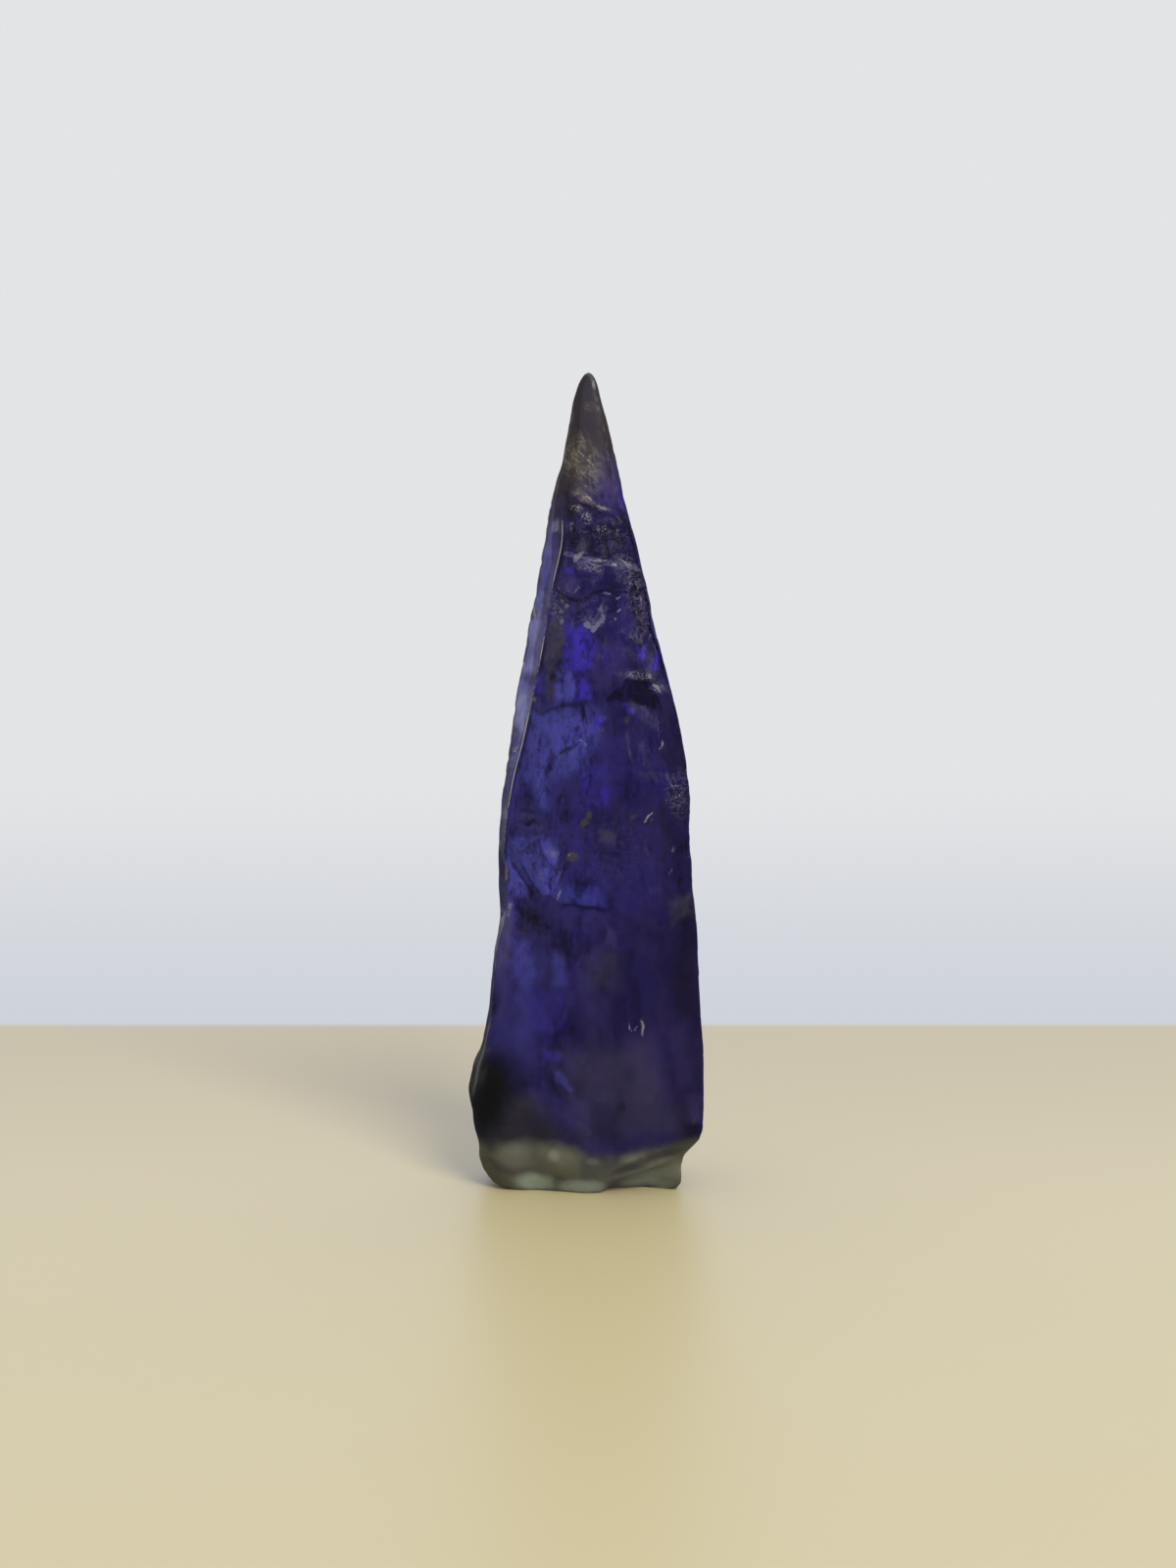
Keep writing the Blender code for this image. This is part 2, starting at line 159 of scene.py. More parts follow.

# Lines on the front: ((x, z) points, half width, depth, tone). A raised line has a negative depth, and the
# tone runs from -1 for a dark line, a crack's own dark with painted shade in its crease, to 1 for a pale
# one, a painted highlight
LINES = (
    (((-6.8, 28.1), (-5.4, 26), (-4.2, 24.8)), 0.18, 0.06, -0.8),
    (((-6.3, 28.6), (-4.75, 26.1), (-3.6, 24.7)), 0.16, 0.06, -0.8),
    (((-5.6, 28.6), (-4.6, 27.3), (-3.9, 26.2)), 0.13, 0.06, -0.3),
    (((-2.3, 26), (-2.45, 25.3), (-2.65, 24.7)), 0.13, -0.08, 0.9),
    (((-1.9, 28.3), (-2.2, 27.1), (-2.45, 25.9)), 0.2, 0.1, -0.7),
    (((-3.05, 28.8), (-3.3, 27.5)), 0.1, -0.04, 0.5), (((-2.95, 28.8), (-2.85, 27.4)), 0.1, -0.04, 0.5),
    (((-3.2, 28.7), (-3.9, 27.1)), 0.1, -0.03, 0.4), (((-3.4, 28.6), (-4.6, 27.9)), 0.1, -0.03, 0.3),
    (((-7.15, 28.1), (-7.12, 27.2), (-7, 26.2)), 0.13, -0.03, 1),
    (((-6.55, 24.3), (-6.6, 23.7), (-6.95, 23.1)), 0.14, -0.02, 0.45),
    (((-5.9, 31.3), (-5.1, 31.2), (-4.75, 31.5), (-4, 31.05)), 0.2, 0.15, -0.9),
    (((-6.1, 32.2), (-5.2, 32.4), (-4.4, 32.1)), 0.16, 0.08, -0.7),
    (((-5.4, 30.4), (-4.6, 30.2), (-3.8, 30.4)), 0.14, 0.07, -0.4),
    (((-2.55, 37.3), (-1.9, 37.75), (-1.15, 37.9)), 0.22, 0.16, -1),
    (((5.95, 41.3), (6.05, 40), (6.2, 38.4)), 0.13, 0.06, 0.55),
    (((5.9, 37.9), (6.15, 38.4), (6.2, 38.7)), 0.15, -0.05, 0.9),
    (((5.35, 43.6), (5.8, 43.15), (6.25, 42.65)), 0.17, -0.1, 1.1),
    (((4.7, 31.7), (5.1, 32.3), (5.5, 32.8)), 0.11, -0.08, 1.2),
    (((5.3, 31.7), (5.6, 32.2)), 0.1, -0.04, 0.7), (((5.75, 30.8), (5.9, 31.4)), 0.13, -0.07, 0.6),
    (((4.9, 30.1), (5.3, 29)), 0.16, 0.03, -0.8), (((6.65, 27.1), (7.1, 28)), 0.2, -0.08, 0.6),
    (((7.15, 29.2), (7.35, 29.8)), 0.2, -0.06, 0.6),
    (((8.65, 29.8), (8.5, 28.9), (8.25, 28.3)), 0.14, -0.05, 0.6),
    (((6, 34.4), (7, 34.8), (7.9, 35), (8.35, 35.6)), 0.12, 0.03, 0.75),
    (((6.2, 33.6), (7.1, 33.85), (7.9, 34.2), (8.3, 34.9)), 0.12, 0.03, 0.75),
    (((7, 33.1), (7.7, 33.35), (8.3, 33.9)), 0.12, 0.03, 0.75),
    (((7.1, 32.5), (7.6, 32.8), (8.1, 32.6)), 0.12, 0.03, 0.7),
    (((3.45, 15), (3.6, 14.4), (3.85, 13.9)), 0.15, -0.06, 1),
    (((4.4, 15.3), (4.65, 14.5), (4.6, 13.6)), 0.17, -0.1, 1.1),
    (((3.9, 13.9), (4.1, 14.4), (4.35, 14.9)), 0.13, -0.05, 0.8),
    (((-2.6, 24.55), (0, 24.4), (2, 24.2)), 0.25, 0.02, -0.9), (((2, 25.2), (1.95, 24.2)), 0.2, 0.05, -0.6),
    (((-1.1, 52.5), (-0.4, 52.65), (0.66, 52.5)), 0.15, 0.09, -0.8),
    (
        ((-2.7, 51.3), (-1.9, 50.7), (-1.2, 50.4), (-0.3, 50.5), (0.5, 51.1), (1.7, 51.5), (2.9, 51.7)),
        0.24, 0.1, -1,
    ),
    (((-1.3, 59.7), (-0.7, 59.15), (-0.3, 58.7), (0.3, 58.5), (1.4, 58.25)), 0.17, 0.08, -0.8),
    (((-0.2, 54), (0.8, 54.05), (1.7, 54.05)), 0.1, -0.05, 0.95),
    (((1.75, 53.72), (2.6, 53.55)), 0.13, -0.06, 1),
    (((-0.6, 53.95), (0.3, 53.7), (1, 53.66), (1.5, 53.72)), 0.12, -0.05, 1),
    (((2.5, 54.05), (3.2, 53.7), (3.85, 53.15)), 0.12, -0.06, 0.85),
    (((3, 53.9), (3.5, 53.1), (3.65, 52.1)), 0.12, 0.06, 0.7),
    (((-0.85, 51.9), (-0.8, 51.4), (-1.1, 50.8)), 0.12, -0.05, 0.65),
    (((-2.55, 51.75), (-2.45, 51.2)), 0.13, -0.05, 0.8),
    (((1.2, 51.15), (1.55, 51.2), (1.95, 51)), 0.13, -0.06, 0.9),
    (((2.2, 50.6), (2.6, 50.75), (2.95, 51.05)), 0.13, -0.06, 0.9),
    (((2.25, 50.95), (2.8, 50.6)), 0.12, 0.05, 0.7),
    (((1.2, 50.4), (1.05, 49.8), (0.85, 49.1)), 0.16, -0.05, 0.6),
    (((3.5, 50.9), (3.55, 50.2), (3.8, 49.6)), 0.12, 0.06, 0.5),
    (((4.35, 51.1), (4.5, 50.6), (4.45, 50.1)), 0.14, -0.07, 0.9),
    (((4, 51.9), (4.25, 51.65), (4.1, 51.3)), 0.13, -0.07, 0.9),
    (((4.6, 48.7), (5.2, 48.3), (5.3, 47.7), (5, 47.1)), 0.12, 0.07, 0.75),
    (((4.2, 48.2), (4.5, 47.7), (4.4, 47.2)), 0.12, 0.07, 0.4), (((5, 50.1), (5.15, 49.5)), 0.12, -0.05, 0.5),
    (((2.3, 49.15), (2.4, 48.85)), 0.15, -0.06, 0.9), (((2.45, 49.6), (2.75, 49.95)), 0.14, -0.05, 1),
    (((-2.5, 44.7), (-1.8, 44.3)), 0.15, -0.04, 0.6),
    (((-5, 40.9), (-4, 40.7), (-3.1, 41.1), (-2.2, 41.5), (-0.8, 41.75), (0.3, 41.85)), 0.3, 0.04, -0.7),
    (((4.35, 37.9), (4.3, 36.9)), 0.15, 0.04, -0.5),
    (((-3.6, 10.3), (-2.9, 9), (-2.3, 7.8)), 0.5, 0.04, -0.75),
    (((-2.2, 45.1), (-0.6, 43.9), (1.3, 42.8)), 0.14, 0.03, -0.35),
    (((-6.7, 37.7), (-6.35, 37.4), (-6, 38)), 0.1, -0.03, 0.9),
    (((0.9, 58.9), (0.3, 59.1), (-0.6, 59.5)), 0.14, -0.05, 0.3),
)

# Patches broken into small hollows: (x, z, half width, half height, turn in degrees), hollow size, depth, and
# how strongly the edges between them glint, both as raised relief and as painted highlights
ROUGH_PATCHES = (
    ((1.0, 56.2, 2.9, 2.4, -12), 1.0, 0.07, 0.12),
    ((-1.1, 58.6, 0.5, 0.32, -10), 0.4, 0.05, 1.1),
    ((-0.25, 57.65, 0.5, 0.42, -30), 0.4, 0.06, 1.5),
    ((1.2, 56.75, 0.55, 0.4, -30), 0.4, 0.06, 1.3),
    ((0.1, 53.45, 1.0, 0.38, -12), 0.4, 0.06, 1.0),
    ((0.2, 49.4, 2.2, 1.3, 8), 0.75, 0.07, 0.15),
    ((4.1, 50.9, 0.9, 3.2, 12), 0.6, 0.07, 0.28),
    ((3.2, 53.6, 1.1, 0.9, -30), 0.5, 0.07, 0.35),
    ((-2.6, 49.8, 0.8, 1.4, 0), 0.6, 0.08, 0.45),
    ((4.1, 44.3, 1.4, 0.35, -6), 0.4, 0.06, 0.7),
    ((5.8, 43.1, 0.5, 0.5, 20), 0.5, 0.08, 0.6),
    ((-1.5, 38.6, 2.4, 2.4, 0), 1.0, 0.07, 0.05),
    ((-5.2, 22.9, 1.5, 1.5, 0), 0.8, 0.12, 0.05),
    ((-5.0, 31.3, 1.3, 1.0, 0), 0.7, 0.08, 0.05),
    ((7.6, 34.2, 1.0, 2.0, 0), 0.9, 0.05, 0.2),
    ((2.0, 29.5, 2.8, 3.4, 0), 1.1, 0.04, 0.06),
    ((-3.5, 8.5, 2.4, 2.2, 0), 1.6, 0.05, 0.0),
)

# Other forms on the front, by where they lie: (x, z), or a patch as above
BOSS = (-3.4, 27.8)
FAN = (-3.1, 29.1, 28.9)  # the fan of rays: x, the height that its rays point at and its own middle's
RIPPLES = ((-3.9, 15.2, 1.7, 2.4, 0), 0.42)  # level ripples, with their spacing
RINGS = ((7.6, 34.0, 1.3, 2.0, 0), 0.5, (9.8, 36.6))  # shell rings, with their spacing and their middle
BLACK_PATCH = (-9.2, 8.7)
SMOKE = (-6.2, 5.3)

# Colour on the front, in straight-sided panes: (strength, softness of the edge, (x, z) corners)
PANES = {
    "glow": (
        (0.8, 0.25, ((-1.8, 48.4), (-0.4, 48.2), (0.6, 46.9), (0.4, 44.9), (-0.7, 44.4), (-2.3, 44.7))),
        (1.5, 0.3, ((-1.3, 47.5), (-0.5, 47.5), (-0.3, 46.2), (-0.7, 45.9), (-1.3, 46.3))),
        (1, 0.25, ((-0.9, 44.2), (-0.3, 44), (0.2, 42.9), (0.25, 42), (-0.85, 42))),
        (0.6, 0.2, ((-4.5, 44), (-3.9, 43.9), (-3.95, 42.5), (-4.8, 42.4))),
        (1, 0.25, ((5.1, 44.7), (5.9, 46.4), (6.15, 46.2), (6, 44.6))),
        (0.9, 0.25, ((4.1, 46.5), (4.9, 46.8), (4.85, 45.6), (4.4, 45.6))),
        (1, 0.12, ((0.5, 40.5), (1.5, 40.7), (1, 39.6), (0.7, 39.7))),
        (0.55, 0.2, ((-0.4, 35.8), (0.2, 35.8), (0.15, 34.6), (-0.3, 34.6))),
        (0.5, 0.2, ((0.9, 34.8), (1.7, 34.7), (1.6, 33.2), (1, 33.3))),
        (0.7, 0.2, ((-2.2, 53.4), (-1.3, 53.3), (-1.2, 52.7), (-2.1, 52.8))),
        (0.5, 0.25, ((3.1, 41.9), (3.9, 41.5), (3.8, 40.9), (3.2, 41.2))),
        (0.5, 0.15, ((1.2, 46.5), (1.6, 46.5), (1.55, 45.3), (1.2, 45.3))),
        (0.3, 0.5, ((-5.3, 17), (-2, 17.2), (-2, 12.6), (-4.8, 12.4))),
        (0.6, 0.25, ((-3.8, 12.1), (-2.3, 12), (-2.4, 11.2), (-3.7, 11.2))),
        (0.2, 0.5, ((-0.9, 36.4), (1.8, 36.4), (1.4, 32.8), (-0.4, 33))),
        (0.4, 0.4, ((2.6, 61.2), (3, 61), (3.3, 58.4), (2.6, 58.6))),
    ),
    # Paler blue panes of painted light, like the glowing windows, and painted highlights on the fan
    "steel": (
        (0.85, 0.3, ((-2.7, 44.6), (-1.6, 44.4), (-1.1, 43.6), (-1.1, 42), (-2.8, 41.9))),
        (0.75, 1.1, ((-4.9, 40.9), (-3, 41.2), (0.9, 41.6), (0.6, 38.6), (-0.6, 36), (-5.6, 34.8))),
        (0.9, 0.1, ((-4.3, 35), (-3.75, 35), (-3.75, 34.1), (-4.3, 34.1))),
        (0.8, 0.5, ((-4.8, 36.4), (-3.2, 36.4), (-3.6, 32.8), (-4.5, 32.8))),
        (0.8, 0.4, ((-6.6, 29.9), (-3.3, 30.2), (-2.2, 28.8), (-2.5, 25.2), (-3.8, 25.2), (-6.9, 28.2))),
        (0.7, 0.6, ((-3.6, 29.6), (-2.8, 29.8), (-2.4, 28.9), (-2.7, 28.1), (-3.5, 28.4))),
        (1.1, 0.9, ((-4.7, 28.6), (-2.9, 28.6), (-2.7, 26.2), (-3.9, 25.8))),
        (1.4, 0.5, ((-7, 28), (-6.4, 27.6), (-5.3, 25.8), (-5.4, 24.9), (-6.6, 25.1))),
        (0.42, 0.4, ((-1.9, 26), (-0.7, 26.6), (0.8, 26.2), (1.3, 24.7), (-2.3, 24.7))),
        (0.8, 0.6, ((-6.4, 21), (-5.1, 20.9), (-4.3, 18.4), (-5.2, 16.8), (-6.4, 18.2))),
        (0.45, 0.35, ((-3.2, 20.4), (-2.2, 20), (-1.9, 17.6), (-3, 17.6))),
        (0.7, 0.2, ((-2.9, 10.3), (-2.3, 10.2), (-1.2, 8.9), (-1.6, 8.6), (-2.4, 9.2))),
        (0.25, 0.6, ((-6.5, 16.5), (-5, 16.8), (-4.6, 12.8), (-6, 12.4))),
    ),
    "lilac": (
        (0.7, 0.4, ((-2.6, 52.5), (-0.9, 52.4), (-0.8, 50.9), (-1.6, 50.8), (-2.6, 51.5))),
        (0.45, 0.5, ((0.4, 47.6), (3.6, 46.8), (2.6, 43.8), (1.2, 43), (-0.2, 44.2))),
        (0.8, 0.5, ((1.2, 63.6), (2, 63.5), (3.2, 58.8), (1, 59.2), (0.6, 60.6))),
        (0.7, 0.15, ((1.7, 22.8), (2.3, 22.6), (2.5, 21.1), (1.4, 21.4))),
        (0.3, 0.4, ((-2.3, 24.2), (1.7, 24.1), (1.6, 22.9), (-2.2, 22.6))),
        (0.5, 0.5, ((-7.6, 22.6), (-6.7, 22.6), (-6.8, 18.8), (-7.9, 18.8))),
        (0.5, 0.5, ((8.4, 8.2), (9.8, 8.4), (9.9, 5.9), (8.7, 6))),
        (0.3, 0.8, ((3.2, 13.6), (6.2, 14.2), (6.6, 8.2), (4.4, 7.6))),
        (0.3, 0.8, ((-0.6, 16.5), (1.8, 17), (2, 9.5), (0, 9))),
        (0.3, 0.6, ((6.6, 14.2), (8.2, 14.4), (8.9, 9.4), (7.8, 9))),
    ),
    "shade": (
        (1.1, 0.18, ((1.25, 41.95), (2.1, 42.9), (3.4, 44.05), (3.5, 42.2))),
        (1.1, 0.18, ((3.3, 44), (4.5, 44.1), (5.3, 43.6), (5.3, 41.5), (4.3, 41.7), (3.4, 42.2))),
        (1, 0.25, ((5.1, 43.7), (5.6, 43), (5.9, 42.2), (5.75, 41.5), (5.3, 41.3))),
        (0.9, 0.35, ((-2, 57), (0.6, 57.2), (1.6, 54.2), (-0.6, 54.2), (-1.8, 55.6))),
        (1, 0.3, ((0.8, 57.6), (2.6, 57.2), (3, 54.8), (2.4, 54.2), (0.8, 54.2))),
        (0.7, 0.2, ((0, 58.7), (1.4, 58.5), (1.6, 57.6), (0.2, 57.9))),
        (0.9, 0.2, ((0.95, 60.05), (1.3, 60.05), (1.3, 59.75), (0.95, 59.75))),
        (0.5, 0.3, ((-2.4, 22.3), (0.1, 22), (0.3, 20.8), (-0.9, 19.7), (-2.3, 20.6))),
        (0.5, 0.4, ((-6.2, 24.2), (-4.1, 24), (-4.2, 21.9), (-6, 21.6))),
        (0.5, 0.3, ((1.1, 53.2), (3.4, 52.6), (3.2, 51.8), (1.4, 51.6))),
        (0.5, 0.4, ((2.8, 53), (4.8, 53.2), (5.6, 48.4), (4, 48))),
        (0.5, 0.5, ((-4.8, 13.4), (-2.4, 13.6), (-2.4, 12.2), (-4.6, 12.2))),
        (0.55, 0.9, ((6.8, 26), (8.8, 24), (9.4, 14), (7.2, 16))),
        (0.4, 0.6, ((6.5, 41), (7.6, 40.2), (8.4, 36.2), (7, 36.4))),
        (0.7, 0.5, ((8.4, 5.8), (9.8, 5.4), (9, 4), (8, 4.3))),
        (0.4, 0.6, ((0.2, 8), (3, 7.6), (2.6, 3.8), (0.6, 4.2))),
        (0.35, 0.25, ((-1.05, 44), (-0.85, 44), (-0.85, 42), (-1, 42))),
    ),
    "brown": (
        (0.75, 0.2, ((-3.4, 48.6), (-2.1, 48.5), (-1.9, 47.6), (-2.4, 45.2), (-3.9, 45.3))),
        (0.5, 0.3, ((-3.8, 45.2), (-2.7, 45.2), (-2.8, 42), (-3.7, 42))),
        (0.7, 0.5, ((6.9, 25), (8.9, 25.8), (9, 23.9), (7.2, 23.2))),
        (0.35, 0.8, ((-0.8, 20.6), (2.6, 21), (2.8, 17.6), (-0.4, 17.6))),
        (0.7, 0.9, ((-8.6, 7.6), (-4.6, 8), (-3.4, 4.8), (-8.8, 4))),
        (0.4, 1.5, ((-2.6, 12), (5, 13), (8, 5), (-1, 4))),
        (0.6, 0.5, ((-2.3, 63.8), (0.3, 64.2), (0.9, 62), (-0.6, 59.6), (-2.4, 60.4))),
        (0.4, 0.3, ((2.8, 44.6), (5.2, 44.6), (5.2, 44), (2.9, 43.9))),
        (0.5, 0.3, ((0.9, 31.1), (2.3, 31), (2.1, 29.9), (1.1, 30))),
    ),
    # A painted highlight along the scar's top rim, in tan
    "tan": (
        (1, 0.14, ((-0.75, 59.35), (-0.2, 59.5), (0.5, 59.3), (1, 58.95), (0.1, 58.75))),
        (0.7, 0.12, ((0.5, 59.15), (1.3, 58.95), (2.1, 58.5), (2.05, 58.38), (0.8, 58.7))),
    ),
    "veil": (
        (0.45, 0.4, ((-0.9, 49), (0.3, 49.3), (1.3, 49.2), (1.2, 48.4), (0.4, 47.7), (-0.4, 48.1))),
        (0.7, 0.2, ((0.9, 49.2), (1.3, 49.2), (1.3, 50.4), (1.1, 50.4))),
    ),
}

# Colour on the front, in soft round marks: (x, z, half width, half height, turn in degrees, strength)
MARKS = {
    "gold": (
        (-0.35, 31.6, 0.38, 0.5, -24, 1), (0.05, 32.3, 0.28, 0.45, -24, 0.9), (-1.35, 28.7, 0.5, 0.42, 0, 1),
        (3.8, 32.4, 0.45, 0.28, 20, 0.7), (1.3, 30.6, 0.8, 0.6, 0, 0.4), (3.3, 28.9, 0.2, 0.3, 0, 0.5),
        (3.3, 40.6, 0.3, 0.3, 0, 0.5), (0.2, 57.6, 0.4, 0.3, 0, 0.4), (-4.3, 41.2, 0.35, 0.25, 0, 0.6),
        (-3.25, 40.9, 0.25, 0.2, 0, 0.6), (-5.4, 31.9, 0.7, 0.3, 0, 0.4), (-5.8, 21.9, 0.6, 0.3, 0, 0.5),
        (-4.9, 37.2, 0.3, 0.25, 0, 0.5),
    ),
    # Whitish veils inside the crystal, and small white dots and streaks that are painted glints
    "veil": (
        (0.42, 48, 0.3, 0.24, 20, 1.8), (-0.1, 48.35, 0.3, 0.19, -30, 1.5),
        (1.2, 48.85, 0.22, 0.36, -15, 1.7), (0.75, 48.35, 0.24, 0.15, 45, 1.3), (-3, 29, 0.8, 0.7, 0, 0.5),
        (-2.6, 27.3, 0.4, 1, 0, 0.4), (5.85, 43.1, 0.25, 0.25, 0, 0.3), (1.55, 51.1, 0.35, 0.15, 10, 0.7),
        (-0.6, 54.5, 0.36, 0.16, 50, 1.2), (-1.02, 54.15, 0.22, 0.32, -25, 1.9),
        (-0.65, 38.6, 0.24, 0.16, -20, 0.8), (-0.25, 38.3, 0.22, 0.14, -20, 0.8),
        (-4.7, 41.9, 0.2, 0.26, 0, 0.8), (-1.88, 49.9, 0.22, 0.2, 0, 1), (-2.3, 48.5, 0.3, 0.2, 15, 0.8),
        (-2.3, 50.4, 0.28, 0.18, -30, 0.6), (5.2, 44.15, 0.16, 0.14, 0, 0.9), (6.2, 38.4, 0.14, 0.2, 0, 0.9),
        (-3, 28.85, 0.3, 0.28, 0, 0.8), (-1.55, 28.95, 0.14, 0.12, 0, 0.9), (-2.45, 37.1, 0.14, 0.14, 0, 0.8),
        (-3.9, 26.9, 0.5, 0.9, 8, 0.4), (9.2, 6.6, 0.5, 0.9, 0, 0.25), (-3.3, 49.3, 0.16, 0.14, 0, 0.6),
        (7.2, 29.5, 0.25, 0.3, 0, 0.5), (2.4, 56.6, 0.14, 0.12, 0, 0.9), (-0.28, 56.5, 0.16, 0.14, 0, 0.6),
        (-1.37, 57.2, 0.16, 0.2, 10, 0.8), (-1.45, 56.7, 0.1, 0.4, 0, 0.6),
        (-2.8, 57.1, 0.4, 0.75, -15, 0.75),
    ),
    # Tan flecks in the tip; the first three marks are a painted highlight along the scar's top rim
    "tan": (
        (-0.5, 59.6, 0.9, 0.4, -25, 0.6), (0.1, 59.2, 0.42, 0.2, -12, 1.9), (1.2, 58.72, 0.6, 0.09, -20, 1.3),
        (-1.02, 63.7, 0.22, 0.18, 0, 1), (-0.7, 63.3, 0.8, 0.1, -47, 0.9), (0.1, 62.5, 0.6, 0.14, -40, 1),
        (0.55, 61.9, 0.5, 0.12, -60, 0.8), (-0.55, 64.6, 0.25, 0.5, 10, 0.5),
        (-0.5, 61.4, 0.6, 0.14, -50, 0.8), (-0.25, 60.7, 0.45, 0.14, -30, 0.8),
        (-0.4, 62.3, 1.5, 2.4, 20, 0.42), (2.6, 57.6, 0.3, 0.12, -50, 0.6), (0.15, 67.2, 0.45, 0.5, 0, 0.3),
        (-2.8, 57, 0.25, 0.45, -15, 0.9), (-6.75, 23.7, 0.18, 0.7, -20, 0.6),
    ),
    # Painted highlights on the foot's lobes, and on its set-back slab against the shade of the overhang
    "sheen": (
        (-3, 3, 0.45, 0.55, 0, 0.75), (3.7, 3, 1, 0.4, 18, 0.6), (0.4, 2.5, 0.5, 0.3, 0, 0.4),
        (4.7, 0.9, 2.2, 0.8, 12, 0.9), (-6.2, 2.8, 1.6, 1, 0, 0.25), (6.7, 1.3, 1.9, 1.1, 8, 0.9),
    ),
    # Painted shade in the foot's hollows and in the valley under its overhang
    "valley": (
        (3.2, 1.9, 1.6, 0.35, 16, 0.9), (6.3, 2.95, 2.2, 0.35, 16, 0.9), (0.8, 2.2, 1.8, 1, 0, 0.6),
        (-2.6, 0.6, 0.5, 0.6, 0, 0.8), (-7.6, 1.9, 1.6, 0.5, -30, 0.6), (-8.4, 3.8, 0.8, 0.8, 0, 0.8),
        (6.8, 4.2, 2, 0.6, 8, 0.7), (-5.4, 1.6, 1, 0.4, 0, 0.4),
    ),
    # Painted light along the foot's lower rim, where light comes through its bottom
    "aqua": (
        (-4.6, 0.3, 1.7, 0.9, 0, 1), (-0.5, 0.1, 2, 0.7, 0, 1), (5.2, 0.1, 2.2, 0.4, 0, 0.4),
    ),
}

# The stage, in metres
FLOOR_TURNS = -0.02  # how far back the near floor starts to take on its edge's colour
FLOOR_JOIN = 1.5 * MM  # half the depth over which the near floor turns into the far one
NEAR_FLOOR_ENDS = (0.4, 2.0)  # how far out it turns into it on every side
FAR_FLOOR_DIM = (0.4, 0.6)  # how far out the far floor stops being dimmer
WINDOW_SILL = (-0.006, 0.012)  # the heights between which the mirrored window starts
LIGHTS_START, LIGHTS_END = (0.05, 0.08), (0.13, 0.1)  # those of the narrow lights' two ends
SHELL_SHARES = (1.5, 2.0)  # the shell's radius and height, as shares of the floor's reach
LAMP_PLACE = Vector((0.55, -1.0, 1.0))
LAMP_COLOUR = (1.0, 0.98, 0.94)
STUDIO_WHITE = (1.0, 1.0, 1.02, 1.0)
CLIP = (0.01, 20.0)  # how near and how far the camera sees


def through(points, heights):
    """A smooth line through (height, value) points that never overshoots them: a monotone cubic."""
    known, values = np.array(points, float).T
    steps, slopes = np.diff(known), np.diff(values) / np.diff(known)
    turns = np.zeros(len(known))
    same_way = slopes[:-1] * slopes[1:] > 0
    weight = 2 * steps[1:] + steps[:-1], steps[1:] + 2 * steps[:-1]
    with np.errstate(divide="ignore"):
        mean = (weight[0] + weight[1]) / (weight[0] / slopes[:-1] + weight[1] / slopes[1:])
    turns[1:-1][same_way] = mean[same_way]
    turns[0], turns[-1] = slopes[0], slopes[-1]
    at = np.clip(np.searchsorted(known, heights, side="right") - 1, 0, len(steps) - 1)
    u = (heights - known[at]) / steps[at]
    return (
        values[at] * (1 + 2 * u) * (1 - u) ** 2
        + values[at + 1] * u * u * (3 - 2 * u)
        + steps[at] * u * (1 - u) * (turns[at] * (1 - u) - turns[at + 1] * u)
    )


def ease(low, high, value):
    """0 below low and 1 above high, with a smooth step between; low may be the larger."""
    u = np.clip((value - low) / (high - low), 0.0, 1.0)
    return u * u * (3 - 2 * u)


def scatter(cells, seed):
    """A fixed random value from -1 to 1 for each cell of a grid, from its three whole numbers."""
    x, y, z = cells.T
    mixed = (x * 73856093) ^ (y * 19349663) ^ (z * 83492791) ^ (seed * 2654435761)
    mixed = (mixed ^ (mixed >> 13)) * 1274126177 & 0xFFFFFFFF
    return ((mixed ^ (mixed >> 16)) & 0xFFFF) / 32767.5 - 1


def lumps(points, cell, seed):
    """Smooth noise from -1 to 1: a scattered value at each corner of a grid of cells, blended between. The
    cell is its size in millimetres, one for all axes or one for each, and every use has a seed of its own."""
    scaled = points / cell
    corner = np.floor(scaled).astype(np.int64)
    part = scaled - corner
    part = part * part * (3 - 2 * part)
    total = np.zeros(len(points))
    for dx, dy, dz in np.ndindex(2, 2, 2):
        share = np.abs(1 - dx - part[:, 0]) * np.abs(1 - dy - part[:, 1]) * np.abs(1 - dz - part[:, 2])
        total += scatter(corner + (dx, dy, dz), seed) * share
    return total


def hollows(points, cell, seed):
    """1 in the middle of each shell-like hollow, 0 on the sharp ridges between: 1 less the squared distance,
    in cells, to the nearest of points scattered one to a cell."""
    scaled = points / cell
    corner = np.floor(scaled).astype(np.int64)
    nearest = np.full(len(points), 9.0)
    for step in np.ndindex(3, 3, 3):
        at = corner + np.array(step) - 1
        moved = np.stack([scatter(at, seed + axis) for axis in range(3)], axis=1)
        nearest = np.minimum(nearest, ((scaled - at - 0.5 - 0.42 * moved) ** 2).sum(axis=1))
    return np.clip(1 - nearest, 0, 1)


def read_height(z):
    """The height at which the tables' marks are read for a point of the front at height z."""
    return z - MARK_RISE * ease(RISE_ENDS, RISE_LESSENS, z)


def line_at(points, x):
    """The height at x of a line that runs straight from one (x, z) point to the next."""
    return np.interp(x, *np.array(points).T)


def near_line(x, z, line, wide):
    """1 on a line through (x, z) points, falling off as a bell curve of that half width and fading at both
    ends."""
    points = np.array(line, float)
    best, along = np.full(x.shape, 1e9), np.zeros(x.shape)
    for i, (start, end) in enumerate(zip(points[:-1], points[1:])):
        run = end - start
        share = np.clip(((x - start[0]) * run[0] + (z - start[1]) * run[1]) / (run @ run), 0, 1)
        away = np.hypot(x - start[0] - share * run[0], z - start[1] - share * run[1])
        along = np.where(away < best, (i + share) / (len(points) - 1), along)
        best = np.minimum(best, away)
    return np.exp(-((best / wide) ** 2)) * (0.25 + 0.75 * np.sqrt(np.clip(4 * along * (1 - along), 0, 1)))


